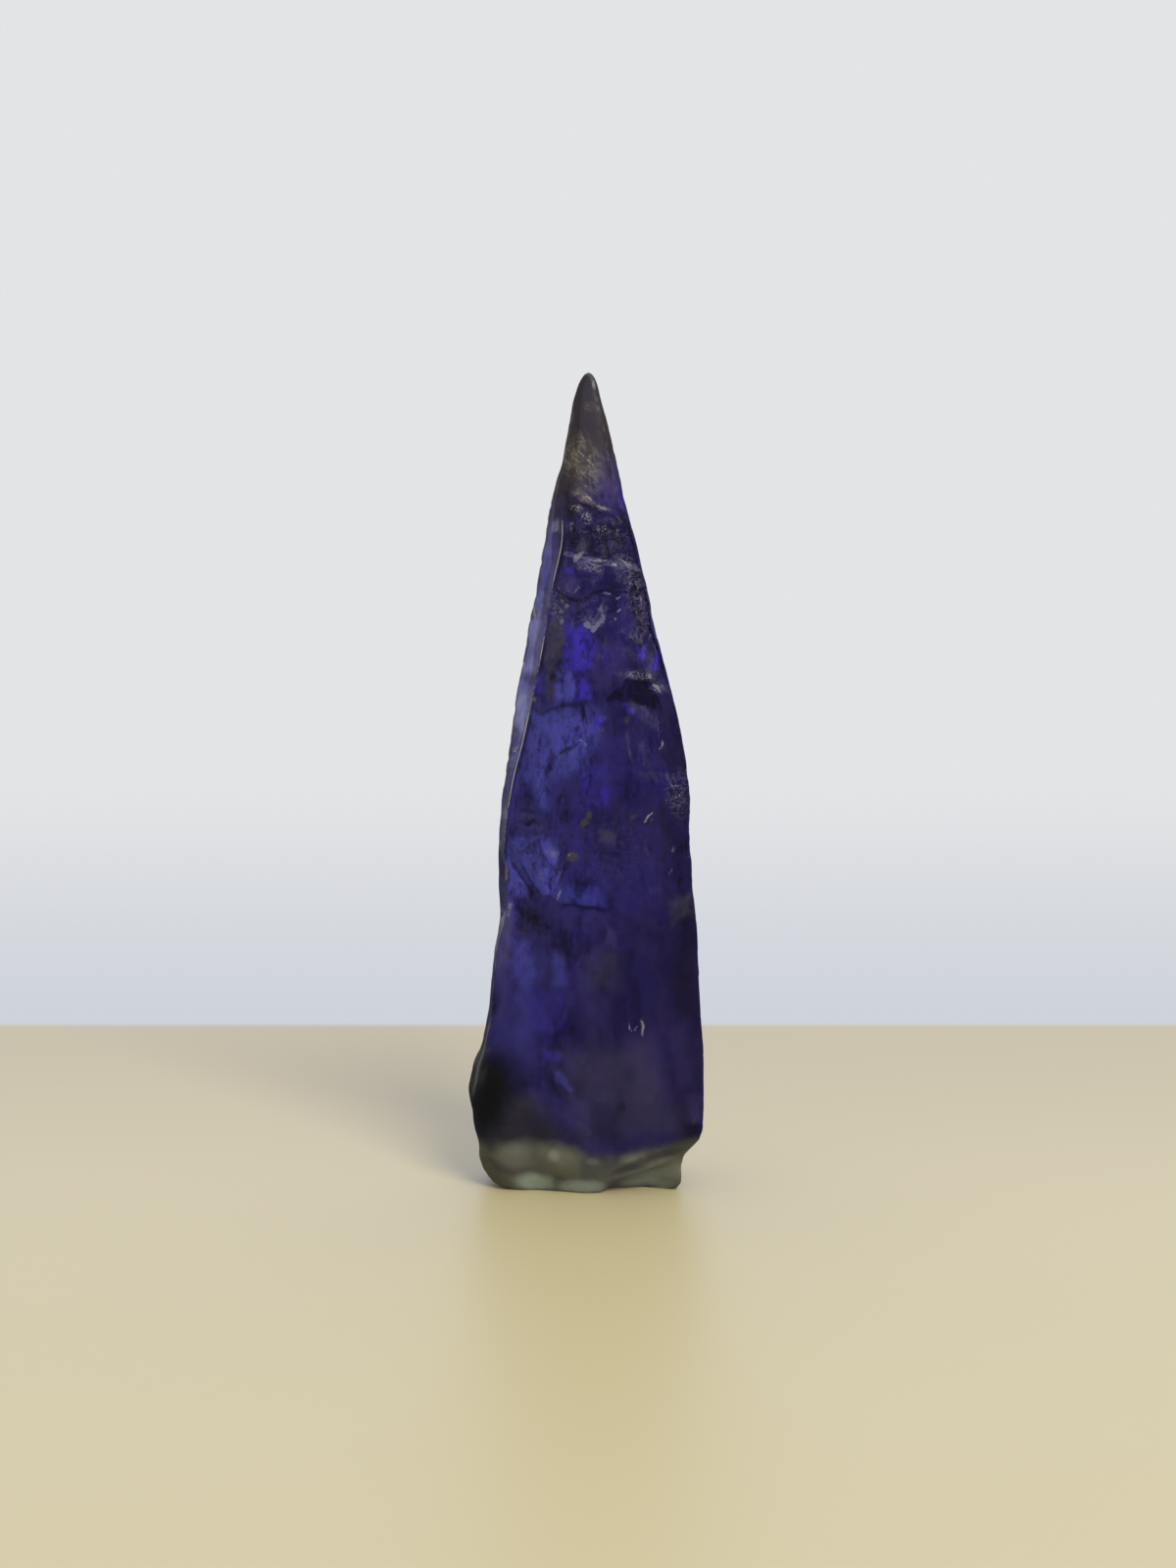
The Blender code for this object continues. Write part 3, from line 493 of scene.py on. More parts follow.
def in_pane(x, z, soft, corners):
    """1 inside a convex shape and 0 outside it, eased over the distance past whichever side is furthest
    in."""
    corners = np.array(corners)
    after = np.roll(corners, -1, axis=0)
    run = after - corners
    way_round = np.sign((corners[:, 0] * after[:, 1] - after[:, 0] * corners[:, 1]).sum())
    square = way_round * np.stack([run[:, 1], -run[:, 0]], axis=1) / np.linalg.norm(run, axis=1)[:, None]
    past = np.stack([(x - a) * nx + (z - b) * nz for (a, b), (nx, nz) in zip(corners, square)])
    return ease(soft, -soft, past.max(axis=0))


def in_patch(x, z, across, up, wide, high, turn):
    """1 in the middle of a turned ellipse and 0 outside it: its edge is soft, from 0.4 to 1.5 of its size."""
    cos, sin = np.cos(np.radians(turn)), np.sin(np.radians(turn))
    dx, dz = x - across, z - up
    return ease(1.5, 0.4, np.hypot((dx * cos + dz * sin) / wide, (dz * cos - dx * sin) / high))


def section_corners(heights):
    """The nine corners of the section at each height, from the left ridge round past the front: each a share
    of the width and depth there, drawn in to the middle along a quarter circle over the worn tip."""
    left, ridge, right = (through(edge, heights) for edge in (LEFT_EDGE, LEFT_RIDGE, RIGHT_EDGE))
    front, back = through(FRONT_DEPTH, heights), through(BACK_DEPTH, heights)
    wide = right - left
    behind_edge = 0.05 * back + 0.025 * wide + 1.9 * ease(17.0, 6.0, heights)
    corners = (
        (ridge, -through(RIDGE_FORWARD, heights)),
        (ridge + 0.64 * (right - ridge), -front),
        (right, -0.8 * front),
        (right - 0.05 * wide, 0.55 * back),
        (right - 0.17 * wide, 0.92 * back),
        (left + 0.48 * wide, back),
        (left + 0.27 * wide, 0.7 * back),
        (left + 0.09 * wide, behind_edge),
        (left, 0.05 * back),
    )
    corners = np.array(corners).transpose(2, 0, 1)
    up_the_tip = np.clip((heights - (HEIGHT - TIP_ROUND)) / TIP_ROUND, 0.0, 1.0)
    middle = corners.mean(axis=1, keepdims=True)
    return middle + (corners - middle) * np.sqrt(1 - up_the_tip**2)[:, None, None]


def plain_faces(heights):
    """The unbroken prism: points (row, column, axis), level outward directions, and a column's share of edge.

    A point is its side's first corner plus a share of the way to the next one. The share of edge is 1 on the
    corners of the hidden sides and 0 elsewhere."""
    corners = section_corners(heights)
    side = np.roll(corners, -1, axis=1) - corners
    square = np.stack([side[..., 1], -side[..., 0]], axis=-1)
    square /= np.linalg.norm(square, axis=-1, keepdims=True)
    points, outward, on_edge = [], [], []
    for i, steps in enumerate(SIDE_STEPS):
        for share in np.arange(steps) / steps:
            points.append(corners[:, i] + side[:, i] * share)
            outward.append(square[:, i] + (square[:, i - 1] if share == 0 else 0))
            on_edge.append(float(share == 0 and i > 1))
    points, outward = np.stack(points, axis=1), np.stack(outward, axis=1)
    outward /= np.linalg.norm(outward, axis=-1, keepdims=True)
    level = np.broadcast_to(heights[:, None, None], (*points.shape[:2], 1))
    on_edge = np.broadcast_to(np.array(on_edge), points.shape[:2])
    return np.concatenate([points, level], axis=-1), outward, on_edge


def front_breaks(x, z):
    """How deep the front is broken or etched away, in millimetres, at x across and z up."""
    scar_top, shelf = 59.1 - 0.47 * x, 54.0 - 0.19 * (x + 0.5)
    rim = line_at(SCAR_RIM, x)
    scar = 0.17 * ease(scar_top, scar_top - 0.4, z) + 0.26 * ease(rim + 0.1, rim - 0.7, z)
    scar *= ease(shelf - 0.1, shelf + 0.5, z)

    plate_foot = line_at(PLATE_FOOT, x)
    below_plate = 0.3 * ease(plate_foot + 0.1, plate_foot - 0.4, z) * ease(45.2, 49.0, z)

    top, sill = line_at(CRESCENT_TOP, x), line_at(CRESCENT_SILL, x)
    crescent = 0.2 * ease(top + 0.1, top - 0.6, z) * ease(sill - 1.5, sill + 0.4, z)
    crescent *= ease(1.2, 2.0, x) * ease(6.5, 5.8, x)

    ledge = line_at(LEDGE, x)
    under_ledge = 0.16 * ease(ledge + 0.1, ledge - 0.3, z) * ease(ledge - 4.5, ledge - 1.0, z)
    under_ledge *= ease(1.6, 0.6, x)

    from_boss = np.hypot((x - BOSS[0]) / 3.2, (z - BOSS[1]) / 3.6)
    boss = -0.3 * np.clip(1 - from_boss**2, 0, None)
    cleft = 0.1 * ease(24.6, 24.2, z) * ease(18.5, 24.0, z) * ease(-4.6, -1.0, x) * ease(3.8, 0.8, x)
    return scar + below_plate + crescent + under_ledge + boss + cleft


def foot_breaks(x, z):
    """The same for the foot's front: two lobes, and a slab at the right that lies further back."""
    lobes = np.exp(-(((x + 3.6) / 2.2) ** 2) - ((z - 2.6) / 1.5) ** 2)
    lobes += 0.4 * np.exp(-(((x - 0.3) / 1.6) ** 2) - ((z - 1.4) / 1.2) ** 2)
    overhang = 0.9 + 0.3 * (x - 2.0)
    slab = ease(1.0, 2.0, x) * ease(overhang + 0.5, overhang - 0.4, z)
    slab *= ease(0.2, 2.4, through(RIGHT_EDGE, z) - x)
    return SLAB_SET_BACK * slab - 0.45 * lobes


def back_breaks(x, z):
    """The same for the back: two steps where slivers have split off along the crystal."""
    sliver = 0.4 * ease(0.9 + 0.05 * z, 1.2 + 0.05 * z, x) * ease(51.5, 50.5, z) * ease(30.5, 32.5, z)
    low_step = 0.5 * ease(-1.6, -2.0, x) * ease(24.5, 23.5, z) * ease(5.5, 9.0, z)
    return sliver + low_step


def chipped(points, outward):
    """Each chip is a hollow ball's surface: a point inside the ball moves level, straight in, on to it."""
    inward = -outward
    for spot, facing, wide, deep in CHIPS:
        facing = np.array(facing) / np.linalg.norm(facing)
        radius = (wide**2 + deep**2) / (2 * deep)
        from_middle = points - (np.array(spot) + facing * (radius - deep))
        along = (from_middle[:, :2] * inward).sum(axis=1)
        left_over = along**2 - (from_middle**2).sum(axis=1) + radius**2
        inside = (np.linalg.norm(from_middle, axis=1) < radius) & (outward @ facing[:2] > 0.3)
        move = np.where(inside, np.sqrt(np.clip(left_over, 0, None)) - along, 0.0)
        move = np.clip(move, 0.0, 1.5 * deep)
        points[:, :2] += inward * move[:, None]


def broad_breaks(points, facing):
    """The solid's own lumps and breaks, as a depth: noise of several sizes and the broken forms."""
    x, z = points[:, 0], points[:, 2]
    wear = 0.14 * lumps(points, (2.6, 2.6, 4.5), 11) + 0.06 * lumps(points, 1.3, 12)
    wear *= ease(HEIGHT, 60.0, z) * 0.75 + 0.25
    rough = 0.16 * lumps(points, (1.5, 1.5, 1.1), 13)
    rough *= ease(44.5, 47.5, z) * ease(60.0, 58.0, z) * ease(0.2, 0.6, facing)
    bulges = 0.3 * lumps(points, (4.2, 4.2, 5.5), 14) * ease(24.0, 9.0, z)
    foot = 0.3 * lumps(points, 2.4, 15) * ease(FOOT_TOP + 1.5, FOOT_TOP - 2.0, z)
    foot += foot_breaks(x, z) * ease(0.2, 0.7, facing)
    on_face = ease(0.15, 0.7, facing) * ease(0.0, 0.5, x - through(LEFT_RIDGE, z))
    breaks = front_breaks(x, read_height(z)) * on_face + back_breaks(x, z) * ease(0.2, 0.75, -facing)
    return wear + rough + bulges + foot + breaks


def mark_places(points, facing):
    """Where the tables' marks are read at each point, as x, z and a share: the front as it is but for the
    view from above, the back turned upside down, and the right side as the middle of the front, faint and
    taller."""
    x, y, z = points.T
    at_side = ease(0.5, 0.1, np.abs(facing)) * ease(0.0, 0.5, x)
    return (
        (x, read_height(z), ease(0.1, 0.5, facing)),
        (-x, BACK_TURN - z, ease(0.1, 0.5, -facing)),
        (SIDE_ACROSS * y + SIDE_MIDDLE, SIDE_START + SIDE_SHARE * z, 0.5 * at_side),
    )


def fine_marks(points, x, z, look):
    """Fine relief of the marks, as a depth: rough patches of small hollows, grooves, the fan's rays, and the
    level ripples and shell rings, each a sine along its own direction inside a soft patch."""
    deep = np.zeros(len(points))
    for number, (patch, size, depth, _) in enumerate(ROUGH_PATCHES):
        deep += depth * in_patch(x, z, *patch) * (hollows(points, size, 40 + 7 * number) - 0.35)
    for line, wide, depth, _ in LINES:
        deep += depth * near_line(x, z, line, wide)
    wavy = 0.5 * lumps(points, 1.7, 71)
    across, aim, middle = FAN
    around, away = np.arctan2(x - across, aim - z), np.hypot(x - across, z - middle)
    rays = np.stack([9 * around, 0.35 * away, 0.6 * wavy], axis=1)
    in_fan = ease(4.2, 2.2, away) * ease(0.3, 1.2, away) * ease(2.6, 1.2, np.abs(around + 0.25))
    deep += 0.055 * (lumps(rays, 1.0, 72) + 0.5 * lumps(rays, 0.45, 73)) * in_fan
    patch, spacing = RIPPLES
    deep += 0.02 * np.sin(2 * np.pi * z / spacing + 4 * wavy) * in_patch(x, z, *patch)
    patch, spacing, (across, up) = RINGS
    rings = np.hypot(x - across, z - up)
    deep += 0.025 * np.sin(2 * np.pi * rings / spacing + 2 * wavy) * in_patch(x, z, *patch)
    return look.relief * deep


def grown_lines(points, look):
    """Growth lines up every face, as a depth: noise in cells that are narrow round the crystal and tall."""
    spacing = look.line_spacing / MM
    tall = np.array((spacing, spacing, 26 * spacing))
    lines = lumps(points, tall, 21) + 0.6 * lumps(points, tall * (0.45, 0.45, 0.6), 22)
    lines *= ease(3.0, 9.0, points[:, 2]) * (0.45 + 0.55 * lumps(points, 6.0, 23))
    return look.line_depth / MM * lines


def fine_all_round(points, facing, on_edge, look):
    """Fine relief on every side, as a depth: glassy unevenness, small hollows at the back and round the foot,
    and nicks along the upright edges."""
    z = points[:, 2]
    glassy = 0.035 * lumps(points, (0.8, 0.8, 1.3), 31) + 0.018 * lumps(points, 0.42, 32)
    at_back = ease(0.1, 0.5, -facing)
    etched = 0.2 * (hollows(points, (1.3, 1.3, 1.9), 33) - 0.4)
    etched *= at_back * ease(0.1, 0.75, lumps(points, (5.0, 5.0, 9.0), 36))
    foot = 0.06 * (hollows(points, (2.4, 2.4, 1.7), 37) - 0.4) + 0.015 * lumps(points, 0.8, 38)
    foot *= ease(FOOT_TOP + 1.2, FOOT_TOP - 1.4, z)
    nicks = on_edge * (0.045 + 0.12 * ease(0.0, 0.9, lumps(points, (3.0, 3.0, 0.7), 39)))
    return look.relief * (glassy + etched + foot + nicks)


def rounded(points):
    """Wears the rings' corners round: each ring is blended with its own average over a bell curve of
    columns, stretched back to the ring's own width and depth. That is all of the ring at the tip, the front's
    middle ridge at every height, and the left ridge low down."""
    level = points[..., :2]
    reach = np.arange(-WORN_REACH, WORN_REACH + 1)
    shares = np.exp(-((reach / WORN_CURVE) ** 2))
    worn = sum(share * np.roll(level, step, axis=1) for share, step in zip(shares, reach)) / shares.sum()
    middle, worn_middle = ((ring.max(axis=1) + ring.min(axis=1))[:, None] / 2 for ring in (level, worn))
    stretch = np.ptp(level, axis=1) / np.ptp(worn, axis=1)
    worn = middle + (worn - worn_middle) * stretch[:, None]
    heights, column = points[..., 2:], np.arange(points.shape[1])[:, None]
    from_left = np.minimum(column, points.shape[1] - column)
    middle_ridge = np.exp(-(((column - SIDE_STEPS[0]) / MIDDLE_RIDGE_CURVE) ** 2))
    left_ridge = np.exp(-((from_left / LEFT_RIDGE_CURVE) ** 2)) * ease(25.5, 21.0, heights)
    share = np.maximum(np.maximum(ease(56.5, 62.0, heights), middle_ridge), left_ridge)
    points[..., :2] = level + (worn - level) * share


def thickness_limit(points):
    """A share from 0 to 1 that holds back deep breaks where the crystal is too thin for them."""
    half = np.linalg.norm(points[..., :2] - points[..., :2].mean(axis=1, keepdims=True), axis=-1)
    return ease(0.2, 2.0, half).reshape(-1, 1)


def crystal_surface(look):
    """Every point of the surface in millimetres as (row, column, axis), and how much each faces forwards.

    A point is its place on the unbroken prism, moved level along its side's inward direction by the sum of
    the chips, the broad breaks, the fine relief and the growth lines."""
    spans = [np.arange(first, last, spacing) for first, last, spacing in ROW_SPACING]
    points, outward, on_edge = plain_faces(np.concatenate(spans))
    rounded(points)
    shape = points.shape
    points, outward, on_edge = points.reshape(-1, 3), outward.reshape(-1, 2), on_edge.ravel()
    facing = -outward[:, 1]
    chipped(points, outward)
    deep = broad_breaks(points, facing) + fine_all_round(points, facing, on_edge, look)
    fresh = ease(0.05, 0.25, front_breaks(points[:, 0], read_height(points[:, 2]))) * ease(0.15, 0.5, facing)
    deep += grown_lines(points, look) * (1 - 0.85 * fresh)
    off_strip = ease(-0.1, 0.3, points[:, 0] - through(LEFT_RIDGE, points[:, 2]))
    for x, z, share in mark_places(points, facing):
        here = np.nonzero(share * off_strip)[0]
        fine = fine_marks(points[here], x[here], z[here], look)
        deep[here] += fine * (share * off_strip)[here]
    points[:, :2] -= outward * deep[:, None] * thickness_limit(points.reshape(shape))
    return points.reshape(shape), facing.reshape(shape[:2])


def colour_marks(points, facing):
    """A strength, from 0 to about 1, for each kind of mark at every point: the strongest of its panes, plus
    the strongest of its round marks or lines. Noise breaks up their outlines, in upright columns for the
    panes."""
    jitter = lumps(points, (0.4, 0.4, 2.6), 55)
    warp_x = 0.12 * lumps(points, 0.9, 51) + 0.08 * lumps(points, 0.4, 52)
    warp_z = 0.14 * lumps(points, 1.1, 53) + 0.09 * lumps(points, 0.45, 54)
    kinds = (*PANES, *MARKS, "line_pale", "line_dark", "spark")
    found = {kind: np.zeros(len(points)) for kind in kinds}
    for x, z, share in mark_places(points, facing):
        here = np.nonzero(share)[0]
        x, z, share = (x + warp_x)[here], (z + warp_z)[here], share[here]
        upright = z + 0.22 * jitter[here]
        shares = []
        for kind, panes in PANES.items():
            shares.append((kind, [strength * in_pane(x, upright, *pane) for strength, *pane in panes]))
        for kind, marks in MARKS.items():
            shares.append((kind, [strength * in_patch(x, z, *patch) for *patch, strength in marks]))
        lines = np.stack([tone * near_line(x, z, line, wide) for line, wide, _, tone in LINES])
        shares += [("line_pale", np.clip(lines, 0, 1)), ("line_dark", np.clip(-lines, 0, 1))]
        shares.append(("spark", [spark * in_patch(x, z, *patch) for patch, _, _, spark in ROUGH_PATCHES]))
        for kind, strengths in shares:
            found[kind][here] += np.max(strengths, axis=0) * share
    return found


def zone_values(points, facing):
    """Every value that the finish reads at a point: the marks, and where the foot, the smoky tip, the black
    patch, the left ridge with its painted highlight, and the light strip beside it are: painted light that
    comes through the thin edge."""
    x, z = points[:, 0], points[:, 2]
    values = colour_marks(points, facing)
    ragged = 0.5 * lumps(points, 1.8, 61) + 0.2 * lumps(points, 0.6, 62)
    hidden_top = FOOT_TOP + 0.8 * lumps(points, 4.0, 63)
    foot_top = np.where(facing > 0, line_at(PALE_FOOT_TOP, x) + MARK_RISE, hidden_top)
    values["foot"] = ease(0.35, -0.95, z - foot_top - 0.5 * ragged)
    values["tip"] = ease(57.5, 63.5, z + 1.2 * ragged - 0.9 * x * ease(0.0, 0.5, facing))
    from_black = np.hypot(0.95 * (x - BLACK_PATCH[0]), 0.85 * (z - BLACK_PATCH[1]))
    from_smoke = np.hypot(0.75 * (x - SMOKE[0]), z - SMOKE[1])
    values["black"] = ease(5.0, 1.6, from_black + 0.8 * ragged)
    smoke = ease(4.2, 1.2, from_smoke + 0.8 * ragged) * ease(-0.1, 0.4, facing)
    values["tip"] = np.maximum(values["tip"], 0.9 * smoke)
    values["black"] = np.maximum(values["black"], 0.58 * smoke)
    beside = x - through(LEFT_RIDGE, z)
    along_strip = np.interp(z, *np.array(STRIP_LIGHT).T) * (0.8 + 0.35 * lumps(points, 2.2, 65))
    # The strip beside the left ridge: painted light where light passes through the thin edge
    values["strip"] = ease(0.12, -0.05, beside) * along_strip
    values["beside"] = np.clip(beside, -1, 1)
    # How strong the painted highlight along the left ridge is
    values["edge_light"] = ease(26.0, 26.8, z) * ease(58.5, 57.0, z) * (0.75 + 0.6 * lumps(points, 1.6, 64))
    return values


def close_ends(rows):
    """The rows as a closed grid, with the worn rim and a smaller ring of the flat underside below them, and
    a point in the middle of each end."""
    foot = rows[0]
    middle = foot[:, :2].mean(axis=0)
    rim = []
    for height, share in WORN_RIM:
        ring = foot.copy()
        ring[:, :2] = middle + share * (foot[:, :2] - middle)
        ring[:, 2] = height
        rim.append(ring)
    under = rim[0].copy()
    under[:, :2] = middle + 0.5 * (under[:, :2] - middle)
    rows = np.concatenate([under[None], np.array(rim), rows])
    base = np.array([[*middle, 0.0]])
    top = np.array([[*rows[-1, :, :2].mean(axis=0), HEIGHT]])
    return np.concatenate([rows.reshape(-1, 3), base, top]), rows.shape[:2]


def closed_skin(shape):
    """Faces over a grid whose columns meet: quads between its rows, and fans of triangles at both ends."""
    count, around = shape
    index = np.arange(count * around).reshape(count, around)
    after = np.roll(index, -1, axis=1)
    quads = np.stack([index[:-1], after[:-1], after[1:], index[1:]], axis=-1).reshape(-1, 4)
    base, top = count * around, count * around + 1
    below = np.stack([after[0], index[0], np.full(around, base)], axis=-1)
    above = np.stack([index[-1], after[-1], np.full(around, top)], axis=-1)
    return quads.tolist() + below.tolist() + above.tolist()


def crystal_mesh(look):
    """The closed mesh in metres, centred in the frame's own box, with the finish's values on its points."""
    rows, facing = crystal_surface(look)
    points, shape = close_ends(rows)
    added = shape[0] - len(facing)
    facing = np.concatenate([np.repeat(facing[:1], added, axis=0), facing]).ravel()
    values = zone_values(points, np.append(facing, (0.0, 0.0)))
    middle = (points.min(axis=0) + points.max(axis=0)) / 2
    points[:, :2] += np.array((LOWEST + HIGHEST)[:2]) / 2 / MM - middle[:2]
    mesh = bpy.data.meshes.new(NODE)
    mesh.from_pydata((points * MM).tolist(), [], closed_skin(shape))
    for name, value in values.items():
        attribute = mesh.attributes.new(name, "FLOAT", "POINT")
        attribute.data.foreach_set("value", value.astype(np.float32))
    mesh.shade_smooth()
    return mesh


class Number:
    """A number in a material. + - * and ** on it add the Math nodes that they stand for."""

    def __init__(self, shader, socket):
        self.shader, self.socket = shader, socket

    def math(self, operation, first, second=0.0):
        return self.shader.number("ShaderNodeMath", {"operation": operation}, {0: first, 1: second})

    def __add__(self, other):
        return self.math("ADD", self, other)

    def __sub__(self, other):
        return self.math("SUBTRACT", self, other)

    def __rsub__(self, other):
        return self.math("SUBTRACT", other, self)

    def __mul__(self, other):
        return self.math("MULTIPLY", self, other)

    def __pow__(self, other):
        return self.math("POWER", self, other)

    def most(self, other):
        return self.math("MAXIMUM", self, other)

    def size(self):
        return self.math("ABSOLUTE", self)

    def cosine(self):
        return self.math("COSINE", self)

    __radd__ = __add__
    __rmul__ = __mul__


class Shader:
    """The nodes of one material or world, and the one way in which they are added."""

    def __init__(self, owner):
        owner.use_nodes = True
        self.tree = owner.node_tree
        self.tree.nodes.clear()

    def node(self, kind, settings=None, sockets=None, out=0):
        """Adds a node, makes its settings, then fills its sockets with values or links; gives an output."""
        node = self.tree.nodes.new(kind)
        for name, value in (settings or {}).items():
            setattr(node, name, value)
        for name, value in (sockets or {}).items():
            value = getattr(value, "socket", value)
            if isinstance(value, bpy.types.NodeSocket):
                self.tree.links.new(value, node.inputs[name])
            else:
                node.inputs[name].default_value = value
        return node.outputs[out] if node.outputs else None

    def number(self, *arguments, **named):
        return Number(self, self.node(*arguments, **named))

    def value(self, name):
        """One of the mesh's own values, by name."""
        return self.number("ShaderNodeAttribute", {"attribute_name": name}, out="Fac")

    def axes(self, vector, names):
        """The vector's numbers along the named axes."""
        return [self.number("ShaderNodeSeparateXYZ", {}, {0: vector}, name) for name in names]

    def ease(self, low, high, value):
        """0 below low and 1 above high, with a smooth step between; low may be the larger."""
        settings = {"interpolation_type": "SMOOTHSTEP"}
        sockets = {"Value": value, "From Min": low, "From Max": high}
        return self.number("ShaderNodeMapRange", settings, sockets)

    def layers(self, colour, *coats):
        """The colour under one coat after another, each given as a colour and its share."""
        for coat, share in coats:
            colour = self.node("ShaderNodeMix", {"data_type": "RGBA"}, {0: share, 6: colour, 7: coat}, 2)
        return colour

    def stretched(self, vector, sizes):
        """The vector with each axis divided by a size, so that a pattern on it has cells of those sizes."""
        shares = Vector([1 / size for size in sizes])
        return self.node("ShaderNodeVectorMath", {"operation": "MULTIPLY"}, {0: vector, 1: shares})

    def noise(self, vector, sizes, detail, rough, twist=0.0):
        sockets = {"Vector": self.stretched(vector, sizes), "Scale": 1.0, "Detail": detail}
        sockets |= {"Roughness": rough, "Distortion": twist}
        return self.number("ShaderNodeTexNoise", {}, sockets)

    def cells(self, vector, sizes, feature="F1", out="Color"):
        """Cells, each the space nearest to one of many scattered points: a random number for each cell, or
        another of the node's features, such as the distance to the nearest border."""
        sockets = {"Vector": self.stretched(vector, sizes), "Scale": 1.0}
        return self.number("ShaderNodeTexVoronoi", {"feature": feature}, sockets, out)


def empty_finish(name):
    """A new material and the shader that fills it."""
    material = bpy.data.materials.new(name)
    return material, Shader(material)


def crystal_finish(look):
    """The see-through finish: one colour after another is blended over the deep blue by the mesh's values
    and by noise stretched along the crystal, and the same noises make it rough or uneven. Some of the
    colours are painted light: glowing windows, highlights, glints and shade."""
    material, s = empty_finish("tanzanite_finish")
    at = s.stretched(s.node("ShaderNodeTexCoord", out="Object"), (MM, MM, MM))
    x, z = s.axes(at, "XZ")
    foot, tip, black, spark = map(s.value, ("foot", "tip", "black", "spark"))
    beside, edge_light = s.value("beside"), s.value("edge_light")

    # Each noise has the size of its lumps along x, y and z, its detail, its roughness and its twist
    clouds = s.noise(at, (3.2, 3.2, 5.0), 3.0, 0.55, 0.6)
    mottle = s.noise(at, (1.3, 1.3, 2.0), 8.0, 0.66, 0.5)
    streaks = s.noise(at, (0.3, 0.3, 4.5), 4.0, 0.6)
    grains = s.noise(at, (0.45, 0.45, 0.5), 4.0, 0.65)
    crumple = s.noise(at, (0.55, 0.55, 0.4), 5.0, 0.6, 1.4)
    threads = s.noise(at, (0.14, 0.14, 0.2), 3.0, 0.6)
    wrinkles = s.noise(at, (0.5, 0.5, 0.9), 6.0, 0.66, 1.0)
    facets = s.cells(at, (1.2, 1.2, 2.1))
    slanted = s.node("ShaderNodeCombineXYZ", {}, {"X": x + z, "Y": 0.5 * x, "Z": x - z})
    feathers = s.noise(slanted, (0.5, 1.0, 0.9), 3.0, 0.55, 1.2)

    # The mottling is weaker low down
    crisp = 0.4 + 0.6 * s.ease(17.0, 27.0, z)
    uneven = 0.8 * (mottle - 0.5) + 0.25 * (streaks - 0.5) + 0.5 * (wrinkles - 0.5) + 0.15 * (facets - 0.5)
    detail = 0.5 + crisp * uneven
    field = detail + 0.8 * (clouds - 0.5)
    # Painted light: the crystal is clearer toward the left, where light from the right comes through
    lit_toward_left = s.ease(7.5, -6.5, x)
    feathered = s.ease(0.42, 0.66, 0.6 * feathers + 0.4 * mottle)
    ragged = crumple - 0.5 + 0.5 * (threads - 0.5)
    # Painted highlights: glints on the edges of small cells in the rough patches
    glints = s.ease(0.17, 0.05, s.cells(at, (0.22, 0.22, 0.17), "DISTANCE_TO_EDGE", "Distance"))
    glints = glints * s.ease(0.44, 0.56, crumple) * spark
    # Painted highlights along the pale lines
    glint_strokes = s.ease(0.45, 0.95, s.value("line_pale") + 1.2 * (threads - 0.5)) * 0.6
    # Where the painted highlight along the left ridge lies
    on_ridge = s.ease(0.06, 0.02, beside.size()) * s.ease(0.3, 0.55, threads + 0.6 * (edge_light - 0.7))

    foot_colour = s.layers(
        look.foot,
        (look.foot_dark, s.ease(0.42, 0.66, clouds) * 0.6),
        # Painted shade in the foot's hollows
        (look.foot_shade, s.value("valley") * 0.85),
        # Painted highlights on the foot
        (look.foot_highlight, s.value("sheen")),
        # Painted light along the foot's lower rim
        (look.aqua, s.value("aqua") * 0.9),
    )
    colour = s.layers(
        look.deep,
        (look.violet, s.ease(0.4, 0.62, clouds)),
        # Clearer blue by noise, more of it toward the left as painted light
        (look.clear, s.ease(0.45, 0.74, field + 0.12 * lit_toward_left) * (0.15 + 0.6 * lit_toward_left)),
        (look.dark, s.ease(0.47, 0.27, field) * 0.7),
        (look.lilac, s.value("lilac") * s.ease(0.25, 0.55, detail)),
        # Paler panes of painted light
        (look.steel, s.value("steel") * s.ease(0.3, 0.6, detail)),
        (look.bright, s.value("glow") * s.ease(0.33, 0.66, detail + 0.08 * crisp)),
        (look.brown, s.value("brown") * s.ease(0.3, 0.52, detail)),
        (look.dark, s.value("shade") * (0.4 + 0.6 * s.ease(0.75, 0.45, detail))),
        # Painted light through the thin left edge
        (look.pale, s.value("strip") * (0.35 + 0.8 * s.ease(0.35, 0.65, clouds))),
        (look.tip, tip * s.ease(0.1, 0.4, detail) * 0.9),
        # The dark lines: a crack's own dark with painted shade in its crease
        (look.dark, s.ease(0.2, 0.9, s.value("line_dark") + 0.5 * (threads - 0.5)) * 0.85),
        (look.gold, s.ease(0.25, 0.9, s.value("gold") + 1.5 * (grains - 0.5)) * 0.85),
        # Tan flecks, and a painted highlight along the scar's rim
        (look.tan, s.value("tan") * (0.1 + 0.9 * feathered)),
        # Whitish veils, with painted glints among them
        (look.veil, s.ease(0.2, 1.0, s.value("veil") + ragged) * 0.85),
        # Painted highlights: the pale lines' glint strokes and the rough patches' glints
        (look.glint, glint_strokes.most(glints * 0.9)),
        (look.black, black),
        (foot_colour, foot),
        (look.dark, s.ease(0.3, 0.1, (beside - 0.14).size()) * edge_light * 0.6),
        # Painted highlight along the left ridge
        (look.line, on_ridge * edge_light),
    )

